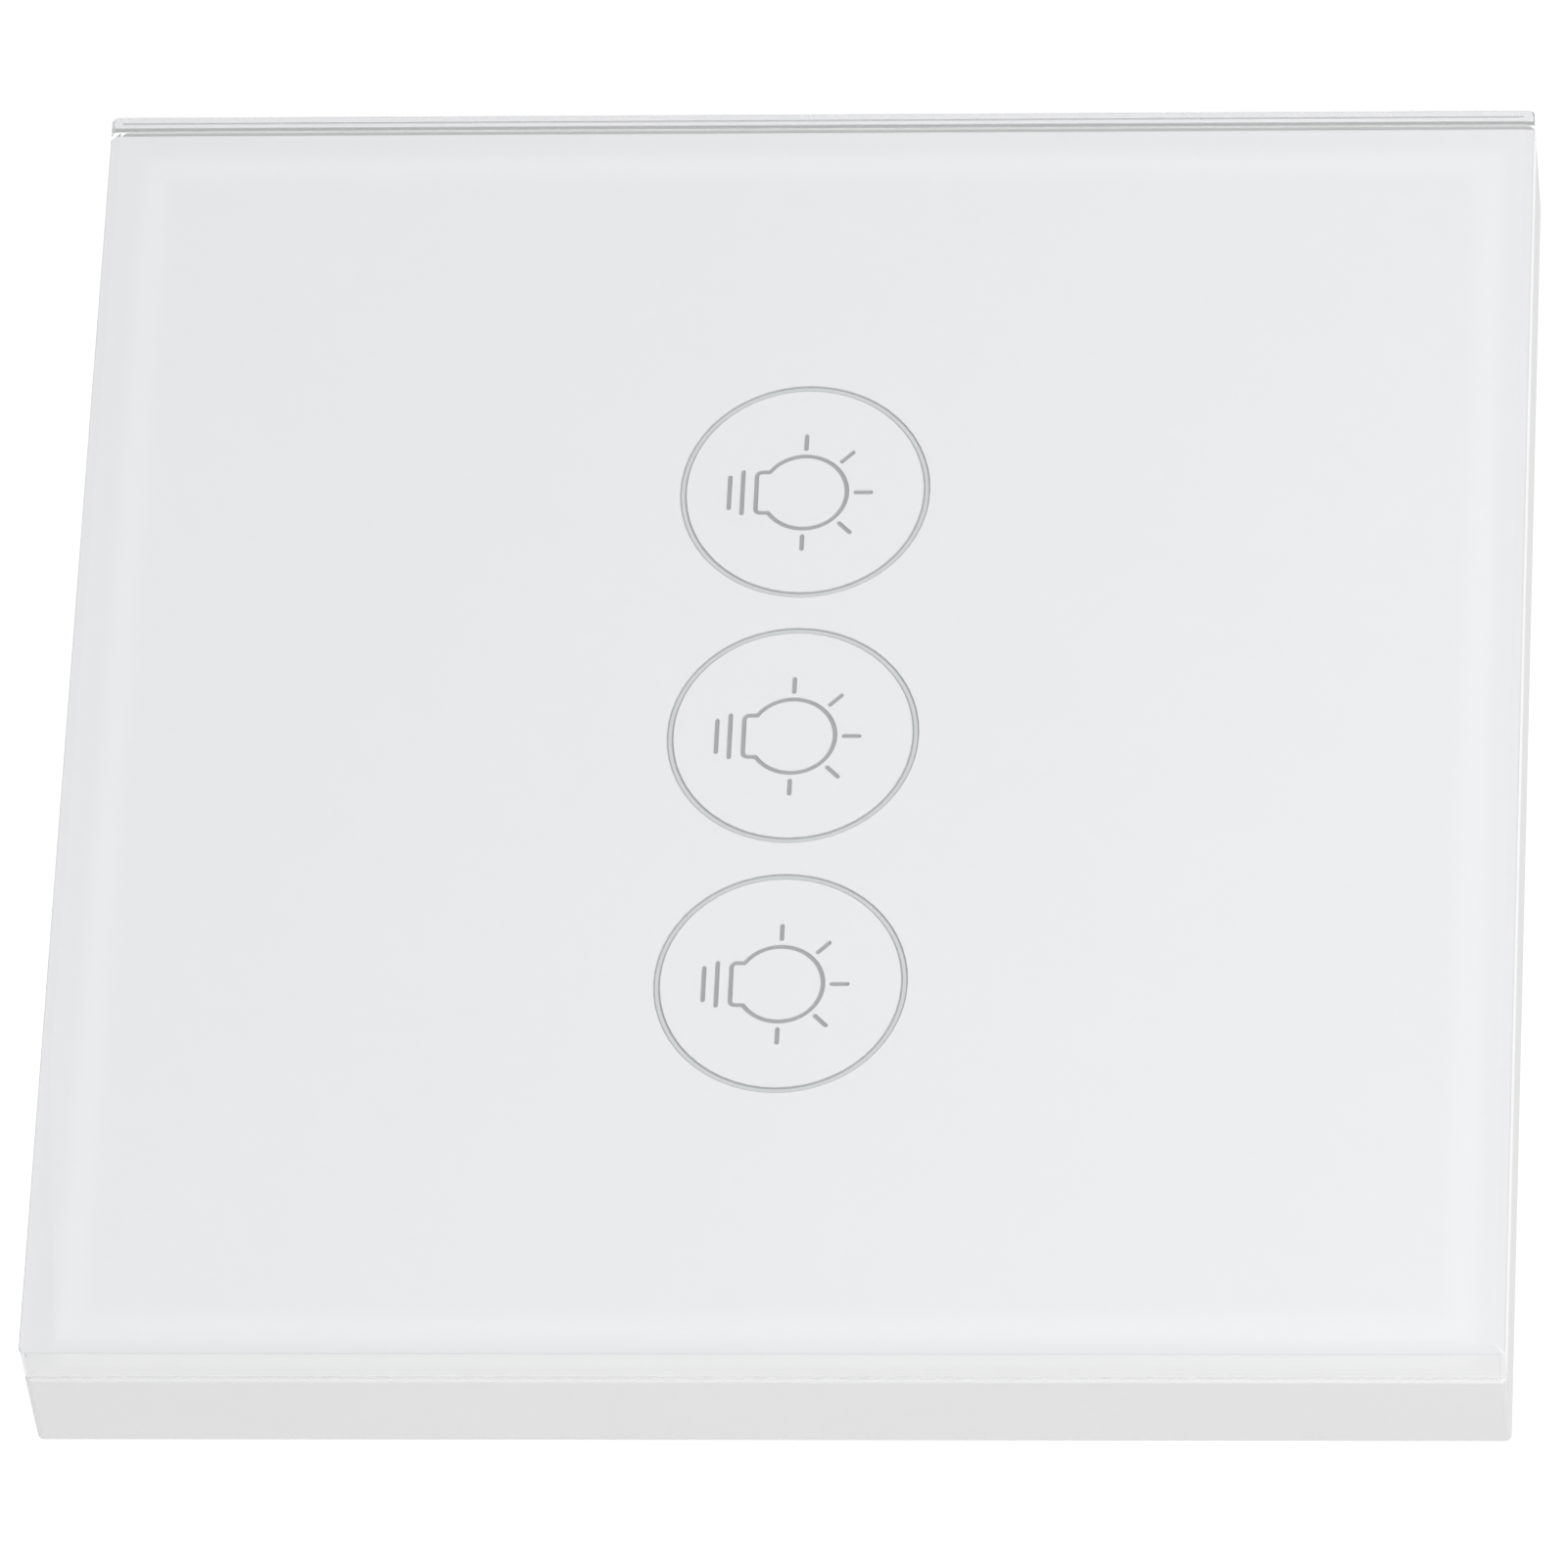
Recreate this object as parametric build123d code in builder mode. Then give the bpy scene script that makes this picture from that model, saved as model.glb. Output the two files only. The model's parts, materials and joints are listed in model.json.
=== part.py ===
from build123d import *
import math
import os

# A glass touch switch for three lamps, as it hangs on the wall.
# X runs to the right along the row of icons, Z runs up and Y runs into the wall.
# The origin is the middle of the wall plane, where the back rim of the front frame rests.

# Glass panel
panel_width = 86.0
panel_height = 86.0
panel_corner_radius = 0.4
glass_thickness = 3.0
glass_arris = 0.05
glass_bevel_width = 0.6
glass_bevel_depth = 0.15
glass_bevel_corner = 0.1

# Printed layer on the back of the glass
print_thickness = 0.1
print_side_margin = 0.3
print_end_margin = 0.06

# Adhesive sheet and the icon film that lies in its window
adhesive_thickness = 0.2
adhesive_margin = 0.35
film_margin = 1.2
film_gap = 0.3

# Icons
icon_count = 3
icon_pitch = 17.06
ring_radius = 7.28
ring_stroke = 0.4
icon_stroke = 0.28
bulb_radius = 2.55
bulb_shift_x = 0.08
bulb_shift_z = -0.05
neck_half_width = 1.43
neck_drop = 2.87
neck_corner_radius = 0.3
wide_line_length = 3.2
wide_line_drop = 3.69
narrow_line_length = 2.46
narrow_line_drop = 4.47
ray_inner_radius = 2.93
ray_outer_radius = 4.12
ray_count = 5

# Front frame
frame_depth = 7.0
frame_wall = 2.0
frame_plate_thickness = 1.1
frame_front_radius = 0.3
frame_back_radius = 0.12
light_window_radius = 8.0
guide_rib_width = 1.5
guide_rib_place = 22.0
pry_notch_width = 10.0
pry_notch_depth = 1.2
stake_radius = 1.0
stake_head_radius = 1.8
stake_head_height = 0.7
stake_inset = 4.0
stake_clearance = 0.15
slide_clearance = 0.3

# Light baffles
baffle_inner_radius = 5.4
baffle_wall = 0.8
baffle_web_width = 0.8
baffle_web_height = 0.5
baffle_web_count = 3
baffle_fit = 0.1

# Touch board and what it carries
board_thickness = 1.0
board_side_gap = 3.0
board_end_gap = 4.0
board_corner_radius = 1.5
electrode_thickness = 0.1
electrode_outer_radius = 5.2
electrode_inner_radius = 2.4
led_width = 0.8
led_length = 1.6
led_height = 0.6
ring_led_count = 6
ring_led_radius = 7.1
icon_led_spread = 2.4
touch_chip_inset = 12.0
touch_chip_z = 12.0
touch_chip_length = 10.0
touch_chip_width = 4.0
touch_chip_height = 1.4
touch_chip_legs = 8
chip_stand_off = 0.1
leg_pitch = 1.27
leg_width = 0.4
leg_reach = 1.0
leg_thickness = 0.2
radio_z = -7.0
radio_width = 16.0
radio_height = 22.0
radio_thickness = 0.8
shield_width = 13.0
shield_height = 15.0
shield_depth = 1.8
shield_wall = 0.3
shield_inset = 1.0
shield_corner_radius = 0.6
passive_length = 1.6
passive_width = 0.8
passive_height = 0.5
passive_columns = 3
passive_rows = 4
passive_pitch_x = 3.4
passive_pitch_z = 3.0
passive_inset = 14.0
passive_place_z = 12.0

# Header between the two boards
header_columns = 5
header_rows = 2
header_pitch = 2.54
pin_size = 0.64
pin_hole_clearance = 0.1
header_strip_depth = 2.5
pin_reach = 6.3
socket_front_gap = 0.5
socket_wall = 0.15
tail_size = 0.5
tail_reach = 0.8

# Yoke
yoke_thickness = 1.2
yoke_corner_radius = 3.0
yoke_window_gap = 0.1
fixing_spacing = 60.3
fixing_slot_radius = 2.1
fixing_slot_length = 6.0

# Base frame
deck_gap = 2.0
deck_thickness = 1.2
deck_corner_radius = 2.5
rim_height = 1.4
rim_wall = 1.2
tray_wall = 1.0
tray_floor_thickness = 1.2
tray_floor_depth = 0.2
screw_head_window_radius = 4.2

# Retaining clips and their rivets
clip_thickness = 0.4
clip_width = 8.0
clip_place = 22.0
clip_tab_length = 6.0
clip_rise = 1.0
clip_crest_depth = 1.0
clip_tip_depth = 1.1
clip_tip_drop = 1.4
clip_clearance = 0.3
groove_depth = 0.6
groove_reach = 0.7
rivet_radius = 1.2
rivet_head_radius = 2.0
rivet_head_height = 0.7
rivet_clearance = 0.05

# Rear housing and its screws
housing_width = 54.0
housing_height = 52.0
housing_depth = 25.0
housing_wall = 1.6
housing_corner_radius = 3.0
boss_radius = 2.6
boss_inset = 3.5
boss_hole_depth = 11.0
screw_radius = 1.25
screw_length = 12.0
screw_head_radius = 2.1
screw_head_height = 1.4
screw_hole_clearance = 0.05
screw_pass_clearance = 0.2
recess_width = 0.6
recess_depth = 0.8
label_width = 34.0
label_height = 20.0
label_rise = 6.0
label_corner_radius = 1.0
label_recess_depth = 0.3
vent_width = 1.2
vent_length = 10.0
vent_pitch = 3.2
vent_count = 9
housing_fit = 0.2

# Power board
power_board_thickness = 1.6
power_board_gap = 0.3
power_board_depth = 2.6

# Terminals
terminal_count = 5
terminal_side_gap = 0.25
terminal_gap = 0.1
terminal_length = 11.6
terminal_front_wall = 1.6
well_wall = 1.06
well_depth = 3.9
shelf_thickness = 0.8
chamber_wall = 0.56
chamber_length = 7.8
wire_hole_radius = 2.05
wire_space = 4.2
cage_wall = 0.8
cage_roof = 1.8
cage_length = 5.6
cage_clearance = 0.3
cage_top_gap = 0.2
cage_travel = 3.8
bar_thickness = 1.0
bar_share = 0.81
bar_front_gap = 0.8
leg_protrusion = 0.7
leg_clearance = 0.2
terminal_screw_radius = 1.5
terminal_screw_head_gap = 0.3
terminal_screw_head_height = 1.6
terminal_screw_edge_radius = 0.2
thread_clearance = 0.05
head_gap = 0.1
slot_width = 0.9
slot_depth = 0.8

# Relays
relay_count = 3
relay_gap = 0.6
relay_side_gap = 2.1
relay_foot_gap = 2.6
relay_head_gap = 0.6
relay_zone_share = 0.557
relay_wall = 0.7
relay_base_thickness = 1.0
relay_base_fit = 0.05
flange_gap = 0.7
flange_thickness = 0.6
bobbin_share = 0.19
winding_share = 0.43
core_share = 0.135
core_fit = 0.05
pole_share = 0.2
pole_gap = 0.8
pole_thickness = 0.7
coil_front_gap = 1.8
coil_back_gap = 0.2
coil_foot_gap = 1.5
coil_yoke_gap = 0.2
relay_yoke_thickness = 0.9
relay_yoke_margin = 0.7
relay_yoke_gap = 0.3
relay_head_room = 0.9
relay_back_room = 2.2
armature_room = 3.3
armature_thickness = 0.8
armature_margin = 0.9
armature_bottom = 3.4
leaf_thickness = 0.2
leaf_margin = 0.6
leaf_bottom = 1.4
leaf_top_gap = 2.0
contact_radius = 0.8
contact_height = 2.3
moving_contact_thickness = 0.5
blade_thickness = 0.5
blade_width = 3.4
blade_gap = 1.6
blade_top = 3.3
fixed_contact_thickness = 0.4
relay_pin_width = 0.8
relay_pin_thickness = 0.5
relay_pin_margin = 0.9
relay_pin_inset = 1.4
pin_protrusion = 0.7

# Supply parts on the power board
transformer_side_gap = 0.5
transformer_foot_gap = 1.9
transformer_head_gap = 4.3
transformer_height = 11.0
transformer_core_depth = 5.6
transformer_core_wall = 2.6
transformer_base_thickness = 1.4
winding_inset = 0.7
winding_corner_radius = 1.2
supply_column_share = 0.3327
part_gap = 1.6
input_capacitor_gap = 3.0
input_capacitor_radius = 4.0
input_capacitor_height = 12.0
output_capacitor_radius = 3.15
output_capacitor_height = 11.0
capacitor_edge_radius = 0.5
vent_score_width = 0.3
vent_score_depth = 0.2
varistor_side_gap = 2.6
varistor_gap = 0.8
varistor_radius = 4.5
varistor_thickness = 3.2
varistor_lift = 1.0
varistor_edge_radius = 0.9
lead_radius = 0.35
lead_spread = 5.0
fuse_side_gap = 1.8
fuse_radius = 1.8
fuse_length = 8.4
fuse_cap_length = 1.8
fuse_cap_step = 0.2
choke_side_gap = 1.9
choke_radius = 4.0
choke_height = 7.0
choke_flange_thickness = 1.0
choke_winding_radius = 3.4
chip_row_gap = 0.6
chip_spacing = 0.8
supply_chip_length = 4.9
supply_chip_width = 3.9
supply_chip_height = 1.5
supply_chip_legs = 4
rectifier_length = 4.6
rectifier_width = 3.4
rectifier_height = 1.4
rectifier_legs = 2
rectifier_leg_pitch = 2.54

# Cuts run past the faces that they open by this much
overrun = 1.0

# Depths from the wall plane at zero
wall_plane = 0
frame_front = wall_plane - frame_depth
adhesive_front = frame_front - adhesive_thickness
print_front = adhesive_front - print_thickness
glass_front = print_front - glass_thickness
board_front = frame_front + frame_plate_thickness
board_back = board_front + board_thickness
yoke_front = wall_plane - yoke_thickness
deck_front = yoke_front - deck_thickness
rim_front = deck_front - rim_height
tray_floor_front = wall_plane - tray_floor_depth
tray_floor_back = tray_floor_front + tray_floor_thickness
power_board_front = wall_plane + power_board_depth
power_board_back = power_board_front + power_board_thickness
housing_back = wall_plane + housing_depth
housing_floor = housing_back - housing_wall

# Sizes across the switch
cavity_width = panel_width - 2 * frame_wall
cavity_height = panel_height - 2 * frame_wall
deck_width = cavity_width - 2 * deck_gap
deck_height = cavity_height - 2 * deck_gap
inner_width = housing_width - 2 * housing_wall
inner_height = housing_height - 2 * housing_wall
tray_width = inner_width - 2 * housing_fit
tray_height = inner_height - 2 * housing_fit
touch_board_width = cavity_width - 2 * board_side_gap
touch_board_height = cavity_height - 2 * board_end_gap
film_width = (icon_count - 1) * icon_pitch + 2 * (light_window_radius + film_margin)
film_height = 2 * (light_window_radius + film_margin)

# Places that several pieces share, as X and Z
icon_places = [(icon_pitch * (i - (icon_count - 1) / 2), 0) for i in range(icon_count)]
header_size = (header_columns * header_pitch, header_rows * header_pitch)
socket_width = header_size[0] + 2 * socket_wall
socket_height = header_size[1] + 2 * socket_wall
header_z = tray_height / 2 - tray_wall - 2 * slide_clearance - socket_height / 2
header_place = (0, header_z)


def corners(across, up):
    """The four places at these distances from the middle."""
    return [(across, up), (-across, up), (across, -up), (-across, -up)]


boss_places = corners(inner_width / 2 - boss_inset, inner_height / 2 - boss_inset)
stake_places = corners(touch_board_width / 2 - stake_inset, touch_board_height / 2 - stake_inset)
fixing_places = [(fixing_spacing / 2, 0), (-fixing_spacing / 2, 0)]
cross_fixing_places = [(0, fixing_spacing / 2), (0, -fixing_spacing / 2)]


def level(y):
    """The plane across the switch at one depth, facing the front, with X to the right and Z up."""
    return Plane.XZ.offset(-y)


def slab(back, front, width, height, places=((0, 0),), corner=0, mode=Mode.ADD):
    """Rectangles from one depth forward to another, in the piece that is being built."""
    with BuildSketch(level(back)) as outline:
        with Locations(*places):
            if corner:
                RectangleRounded(width, height, corner)
            else:
                Rectangle(width, height)
    extrude(outline.sketch, amount=back - front, mode=mode)


def rod(back, front, radius, places=((0, 0),), mode=Mode.ADD):
    """Round pieces from one depth forward to another, in the piece that is being built."""
    with BuildSketch(level(back)) as outline:
        with Locations(*places):
            Circle(radius)
    extrude(outline.sketch, amount=back - front, mode=mode)


def roller(low, high, radius, places, mode=Mode.ADD):
    """Round pieces that lie along Z from low to high, at places given as X and Y."""
    with BuildSketch(Plane.XY.offset(low)) as outline:
        with Locations(*places):
            Circle(radius)
    extrude(outline.sketch, amount=high - low, mode=mode)


def block(low, high, width, depth, places, mode=Mode.ADD):
    """Rectangles from one height up to another, at places given as X and Y."""
    with BuildSketch(Plane.XY.offset(low)) as outline:
        with Locations(*places):
            Rectangle(width, depth)
    extrude(outline.sketch, amount=high - low, mode=mode)


def cross_recess(top, facing, places, mode=Mode.SUBTRACT):
    """A cross for a screwdriver, sunk into a screw head. Facing is 1 where the head looks to the back."""
    bottom = top - facing * recess_depth
    arm = 2 * screw_head_radius - 2 * recess_width
    slab(max(top, bottom), min(top, bottom), arm, recess_width, places, mode=mode)
    slab(max(top, bottom), min(top, bottom), recess_width, arm, places, mode=mode)


def keep(builder, label):
    """Labels a finished piece and writes it."""
    builder.part.label = label
    export_step(builder.part, f"parts/{label}.step")


os.makedirs("parts", exist_ok=True)

# Glass panel, with a shallow bevel round its front
bevel_back = glass_front + glass_bevel_depth
with BuildPart() as glass_panel:
    slab(print_front, bevel_back, panel_width, panel_height, corner=panel_corner_radius)
    chamfer(glass_panel.edges().group_by(Axis.Y)[-1], glass_arris)
    with BuildSketch(level(bevel_back)):
        RectangleRounded(panel_width, panel_height, panel_corner_radius)
    with BuildSketch(level(glass_front)):
        RectangleRounded(
            panel_width - 2 * glass_bevel_width,
            panel_height - 2 * glass_bevel_width,
            glass_bevel_corner,
        )
    loft(ruled=True)
keep(glass_panel, "glass_panel")

# Outline of the bulb in an icon: a round bulb, open at its foot into a square neck
neck_rise = math.sqrt(bulb_radius**2 - neck_half_width**2)
neck_angle = -math.degrees(math.atan2(neck_rise, neck_half_width))
with BuildSketch() as bulb_outline:
    with BuildLine():
        CenterArc((0, 0), bulb_radius, neck_angle, 180 - 2 * neck_angle)
        FilletPolyline(
            (-neck_half_width, -neck_rise),
            (-neck_half_width, -neck_drop),
            (neck_half_width, -neck_drop),
            (neck_half_width, -neck_rise),
            radius=neck_corner_radius,
        )
    make_face()

# Strokes of one icon: the bulb, two lines for its cap and the rays
with BuildSketch() as icon_strokes:
    add(bulb_outline.sketch)
    offset(amount=icon_stroke / 2)
    offset(bulb_outline.sketch, amount=-icon_stroke / 2, mode=Mode.SUBTRACT)
    with Locations((0, -wide_line_drop)):
        SlotOverall(wide_line_length, icon_stroke)
    with Locations((0, -narrow_line_drop)):
        SlotOverall(narrow_line_length, icon_stroke)
    with PolarLocations(
        (ray_inner_radius + ray_outer_radius) / 2, ray_count, 0, 180, endpoint=True
    ):
        SlotOverall(ray_outer_radius - ray_inner_radius, icon_stroke)

# White print on the back of the glass, open along the rings and the strokes.
# It stops further from the left and right edges, where what lies behind shows through the glass.
with BuildPart() as back_print:
    with BuildSketch(level(adhesive_front)):
        RectangleRounded(
            panel_width - 2 * print_side_margin,
            panel_height - 2 * print_end_margin,
            panel_corner_radius,
        )
        with Locations(*icon_places):
            Circle(ring_radius + ring_stroke / 2, mode=Mode.SUBTRACT)
            Circle(ring_radius - ring_stroke / 2)
        with Locations(*[(x + bulb_shift_x, z + bulb_shift_z) for x, z in icon_places]):
            add(icon_strokes.sketch, mode=Mode.SUBTRACT)
    extrude(amount=print_thickness)
keep(back_print, "back_print")

# Translucent film behind the icons
with BuildPart() as icon_film:
    slab(frame_front, adhesive_front, film_width, film_height, corner=film_margin)
keep(icon_film, "icon_film")

# Adhesive sheet round the film, flush with the left edge of the glass
with BuildPart() as panel_adhesive:
    slab(
        frame_front,
        adhesive_front,
        panel_width - adhesive_margin,
        panel_height - 2 * adhesive_margin,
        [(-adhesive_margin / 2, 0)],
        corner=panel_corner_radius,
    )
    slab(
        frame_front,
        adhesive_front,
        film_width + 2 * film_gap,
        film_height + 2 * film_gap,
        corner=film_margin + film_gap,
        mode=Mode.SUBTRACT,
    )
keep(panel_adhesive, "panel_adhesive")

# Heights and depths of the clip grooves, measured from the front frame's inner walls
clip_foot = deck_height / 2 + clip_thickness
clip_crest = cavity_height / 2 + groove_depth - clip_clearance
clip_crest_y = yoke_front - clip_rise - clip_crest_depth
groove_places = corners(clip_place, cavity_height / 2)
stake_head_back = board_back + stake_head_height
guide_rib_size = deck_gap - slide_clearance

# Front frame: an open tray of plastic that carries the glass, with windows for the light
with BuildPart() as front_frame:
    slab(wall_plane, frame_front, panel_width, panel_height, corner=panel_corner_radius)
    fillet(front_frame.edges().group_by(Axis.Y)[0], frame_front_radius)
    fillet(front_frame.edges().group_by(Axis.Y)[-1], frame_back_radius)
    slab(wall_plane, board_front, cavity_width, cavity_height, mode=Mode.SUBTRACT)
    rod(board_front, frame_front, light_window_radius, icon_places, mode=Mode.SUBTRACT)
    rod(board_back, board_front, stake_radius, stake_places)
    rod(stake_head_back, board_back, stake_head_radius, stake_places)
    rib_x = cavity_width / 2 - guide_rib_size / 2
    slab(
        yoke_front,
        board_front,
        guide_rib_size,
        guide_rib_width,
        corners(rib_x, guide_rib_place),
    )
    slab(
        clip_crest_y + groove_reach,
        clip_crest_y - groove_reach,
        clip_width + 2 * slide_clearance,
        2 * groove_depth,
        groove_places,
        mode=Mode.SUBTRACT,
    )
    slab(
        wall_plane,
        wall_plane - pry_notch_depth,
        pry_notch_width,
        frame_wall,
        [(0, frame_wall / 2 - panel_height / 2)],
        mode=Mode.SUBTRACT,
    )
keep(front_frame, "front_frame")

# Light baffles: a wall between the light of the ring and the light of the icon
with BuildPart() as light_baffles:
    with BuildSketch(level(board_front)) as baffle_webs:
        with Locations(*icon_places):
            Circle(baffle_inner_radius + baffle_wall)
            web_length = light_window_radius - baffle_fit - baffle_inner_radius
            with PolarLocations(baffle_inner_radius + web_length / 2, baffle_web_count):
                Rectangle(web_length, baffle_web_width)
            Circle(baffle_inner_radius, mode=Mode.SUBTRACT)
    extrude(amount=baffle_web_height)
    with BuildSketch(level(board_front)) as baffle_walls:
        with Locations(*icon_places):
            Circle(baffle_inner_radius + baffle_wall)
            Circle(baffle_inner_radius, mode=Mode.SUBTRACT)
    extrude(amount=frame_plate_thickness)
keep(light_baffles, "light_baffles")

# Touch board, with holes for the stakes and the header pins
header_pin_back = board_front + pin_reach + board_thickness
pin_hole_radius = pin_size / math.sqrt(2) + pin_hole_clearance / 2
with BuildPart() as touch_board:
    slab(
        board_back,
        board_front,
        touch_board_width,
        touch_board_height,
        corner=board_corner_radius,
    )
    rod(
        board_back,
        board_front,
        stake_radius + stake_clearance,
        stake_places,
        mode=Mode.SUBTRACT,
    )
    with BuildSketch(level(board_back)) as pin_holes:
        with Locations(header_place):
            with GridLocations(header_pitch, header_pitch, header_columns, header_rows):
                Circle(pin_hole_radius)
    extrude(amount=board_thickness, mode=Mode.SUBTRACT)
keep(touch_board, "touch_board")

# Touch electrodes: copper pads round the middle of each icon
with BuildPart() as touch_electrodes:
    electrode_front = board_front - electrode_thickness
    rod(board_front, electrode_front, electrode_outer_radius, icon_places)
    rod(board_front, electrode_front, electrode_inner_radius, icon_places, mode=Mode.SUBTRACT)
keep(touch_electrodes, "touch_electrodes")

# Lamps: a circle of them under each ring and two in the middle of each icon
with BuildPart() as indicator_leds:
    with BuildSketch(level(board_front)) as led_outlines:
        with Locations(*icon_places):
            with PolarLocations(ring_led_radius, ring_led_count, 180 / ring_led_count):
                Rectangle(led_width, led_length)
            with GridLocations(0, icon_led_spread, 1, 2):
                Rectangle(led_length, led_width)
    extrude(amount=led_height)
keep(indicator_leds, "indicator_leds")


def chip_legs(board_side, facing, places, length_pitch, count, body_width):
    """Flat legs along both long sides of a chip that lies on a board."""
    top = board_side + facing * leg_thickness
    offset_z = body_width / 2 + leg_reach / 2
    legs = []
    for x, z in places:
        for i in range(count):
            leg_x = x + length_pitch * (i - (count - 1) / 2)
            legs += [(leg_x, z + offset_z), (leg_x, z - offset_z)]
    slab(max(top, board_side), min(top, board_side), leg_width, leg_reach, legs)


# Touch controller on the back of the touch board
touch_chip_place = [(touch_chip_inset - touch_board_width / 2, touch_chip_z)]
with BuildPart() as touch_controller:
    slab(
        board_back + chip_stand_off + touch_chip_height,
        board_back + chip_stand_off,
        touch_chip_length,
        touch_chip_width,
        touch_chip_place,
    )
    chamfer(touch_controller.faces().sort_by(Axis.Y)[-1].edges(), leg_thickness)
keep(touch_controller, "touch_controller")

with BuildPart() as controller_legs:
    chip_legs(board_back, 1, touch_chip_place, leg_pitch, touch_chip_legs, touch_chip_width)
keep(controller_legs, "controller_legs")

# Radio board and its shield can
radio_back = board_back + radio_thickness
shield_z = radio_z + radio_height / 2 - shield_height / 2 - shield_inset
with BuildPart() as radio_board:
    slab(radio_back, board_back, radio_width, radio_height, [(0, radio_z)])
keep(radio_board, "radio_board")

with BuildPart() as radio_shield:
    slab(
        radio_back + shield_depth,
        radio_back,
        shield_width,
        shield_height,
        [(0, shield_z)],
        corner=shield_corner_radius,
    )
    slab(
        radio_back + shield_depth - shield_wall,
        radio_back,
        shield_width - 2 * shield_wall,
        shield_height - 2 * shield_wall,
        [(0, shield_z)],
        mode=Mode.SUBTRACT,
    )
keep(radio_shield, "radio_shield")

# Small resistors and capacitors of the touch board, in two groups
passive_place_x = touch_board_width / 2 - passive_inset
with BuildPart() as board_passives:
    with BuildSketch(level(board_back + passive_height)) as passive_outlines:
        for side in (-1, 1):
            with Locations((side * passive_place_x, side * passive_place_z)):
                with GridLocations(
                    passive_pitch_x, passive_pitch_z, passive_columns, passive_rows
                ):
                    Rectangle(passive_length, passive_width)
    extrude(amount=passive_height)
keep(board_passives, "board_passives")

# Header strip and its pins
with BuildPart() as header_strip:
    slab(board_back + header_strip_depth, board_back, *header_size, [header_place])
    with BuildSketch(level(board_back + header_strip_depth)) as strip_holes:
        with Locations(header_place):
            with GridLocations(header_pitch, header_pitch, header_columns, header_rows):
                Rectangle(pin_size, pin_size)
    extrude(amount=header_strip_depth, mode=Mode.SUBTRACT)
keep(header_strip, "header_strip")

with BuildPart() as header_pins:
    with BuildSketch(level(header_pin_back)) as pin_outlines:
        with Locations(header_place):
            with GridLocations(header_pitch, header_pitch, header_columns, header_rows):
                Rectangle(pin_size, pin_size)
    extrude(amount=header_pin_back - board_front)
keep(header_pins, "header_pins")

# Mounting yoke: a steel plate with fixing slots on both axes
window_size = (inner_width + 2 * yoke_window_gap, inner_height + 2 * yoke_window_gap)
rivet_z = deck_height / 2 - clip_tab_length / 2
rivet_places = corners(clip_place, rivet_z)
with BuildPart() as mounting_yoke:
    slab(wall_plane, yoke_front, deck_width, deck_height, corner=yoke_corner_radius)
    slab(wall_plane, yoke_front, *window_size, mode=Mode.SUBTRACT)
    with BuildSketch(level(wall_plane)) as fixing_slots:
        with Locations(*fixing_places):
            SlotOverall(fixing_slot_length, 2 * fixing_slot_radius)
        with Locations(*cross_fixing_places):
            SlotOverall(fixing_slot_length, 2 * fixing_slot_radius, rotation=90)
    extrude(amount=yoke_thickness, mode=Mode.SUBTRACT)
    rod(
        wall_plane,
        yoke_front,
        rivet_radius + rivet_clearance,
        rivet_places,
        mode=Mode.SUBTRACT,
    )
keep(mounting_yoke, "mounting_yoke")

# Base frame: a deck in front of the yoke, and a tray that closes the rear housing
notch_height = clip_tab_length + 2 * slide_clearance
with BuildPart() as base_frame:
    slab(yoke_front, rim_front, deck_width, deck_height, corner=deck_corner_radius)
    slab(
        deck_front,
        rim_front,
        deck_width - 2 * rim_wall,
        deck_height - 2 * rim_wall,
        mode=Mode.SUBTRACT,
    )
    slab(tray_floor_back, deck_front, tray_width, tray_height)
    slab(
        tray_floor_front,
        deck_front,
        tray_width - 2 * tray_wall,
        tray_height - 2 * tray_wall,
        mode=Mode.SUBTRACT,
    )
    rod(power_board_front, tray_floor_back, boss_radius, boss_places)
    rod(
        power_board_front,
        tray_floor_front,
        screw_radius + screw_pass_clearance,
        boss_places,
        mode=Mode.SUBTRACT,
    )
    slab(
        tray_floor_back,
        tray_floor_front,
        socket_width + 2 * slide_clearance,
        socket_height + 2 * slide_clearance,
        [header_place],
        mode=Mode.SUBTRACT,
    )
    rod(
        yoke_front,
        deck_front,
        screw_head_window_radius,
        fixing_places + cross_fixing_places,
        mode=Mode.SUBTRACT,
    )
    slab(
        yoke_front,
        rim_front,
        clip_width + 2 * slide_clearance,
        2 * notch_height,
        corners(clip_place, deck_height / 2),
        mode=Mode.SUBTRACT,
    )
keep(base_frame, "base_frame")

# Retaining clips: spring leaves that stand up from the yoke and snap into the frame's grooves
clip_path = [
    (yoke_front, deck_height / 2 - clip_tab_length),
    (yoke_front, clip_foot),
    (yoke_front - clip_rise, clip_foot),
    (clip_crest_y, clip_crest),
    (clip_crest_y - clip_tip_depth, clip_crest - clip_tip_drop),
]
with BuildPart() as retaining_clips:
    for side in (-1, 1):
        for end in (-1, 1):
            leaf_plane = Plane.YZ.offset(side * clip_place - clip_width / 2)
            with BuildSketch(leaf_plane) as leaf_section:
                with BuildLine() as leaf_line:
                    Polyline(*[(y, end * z) for y, z in clip_path])
                    offset(
                        amount=clip_thickness,
                        kind=Kind.INTERSECTION,
                        side=Side.LEFT if end > 0 else Side.RIGHT,
                    )
                make_face()
            extrude(amount=clip_width)
    rod(
        yoke_front,
        yoke_front - clip_thickness,
        rivet_radius + rivet_clearance,
        rivet_places,
        mode=Mode.SUBTRACT,
    )
keep(retaining_clips, "retaining_clips")

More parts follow.
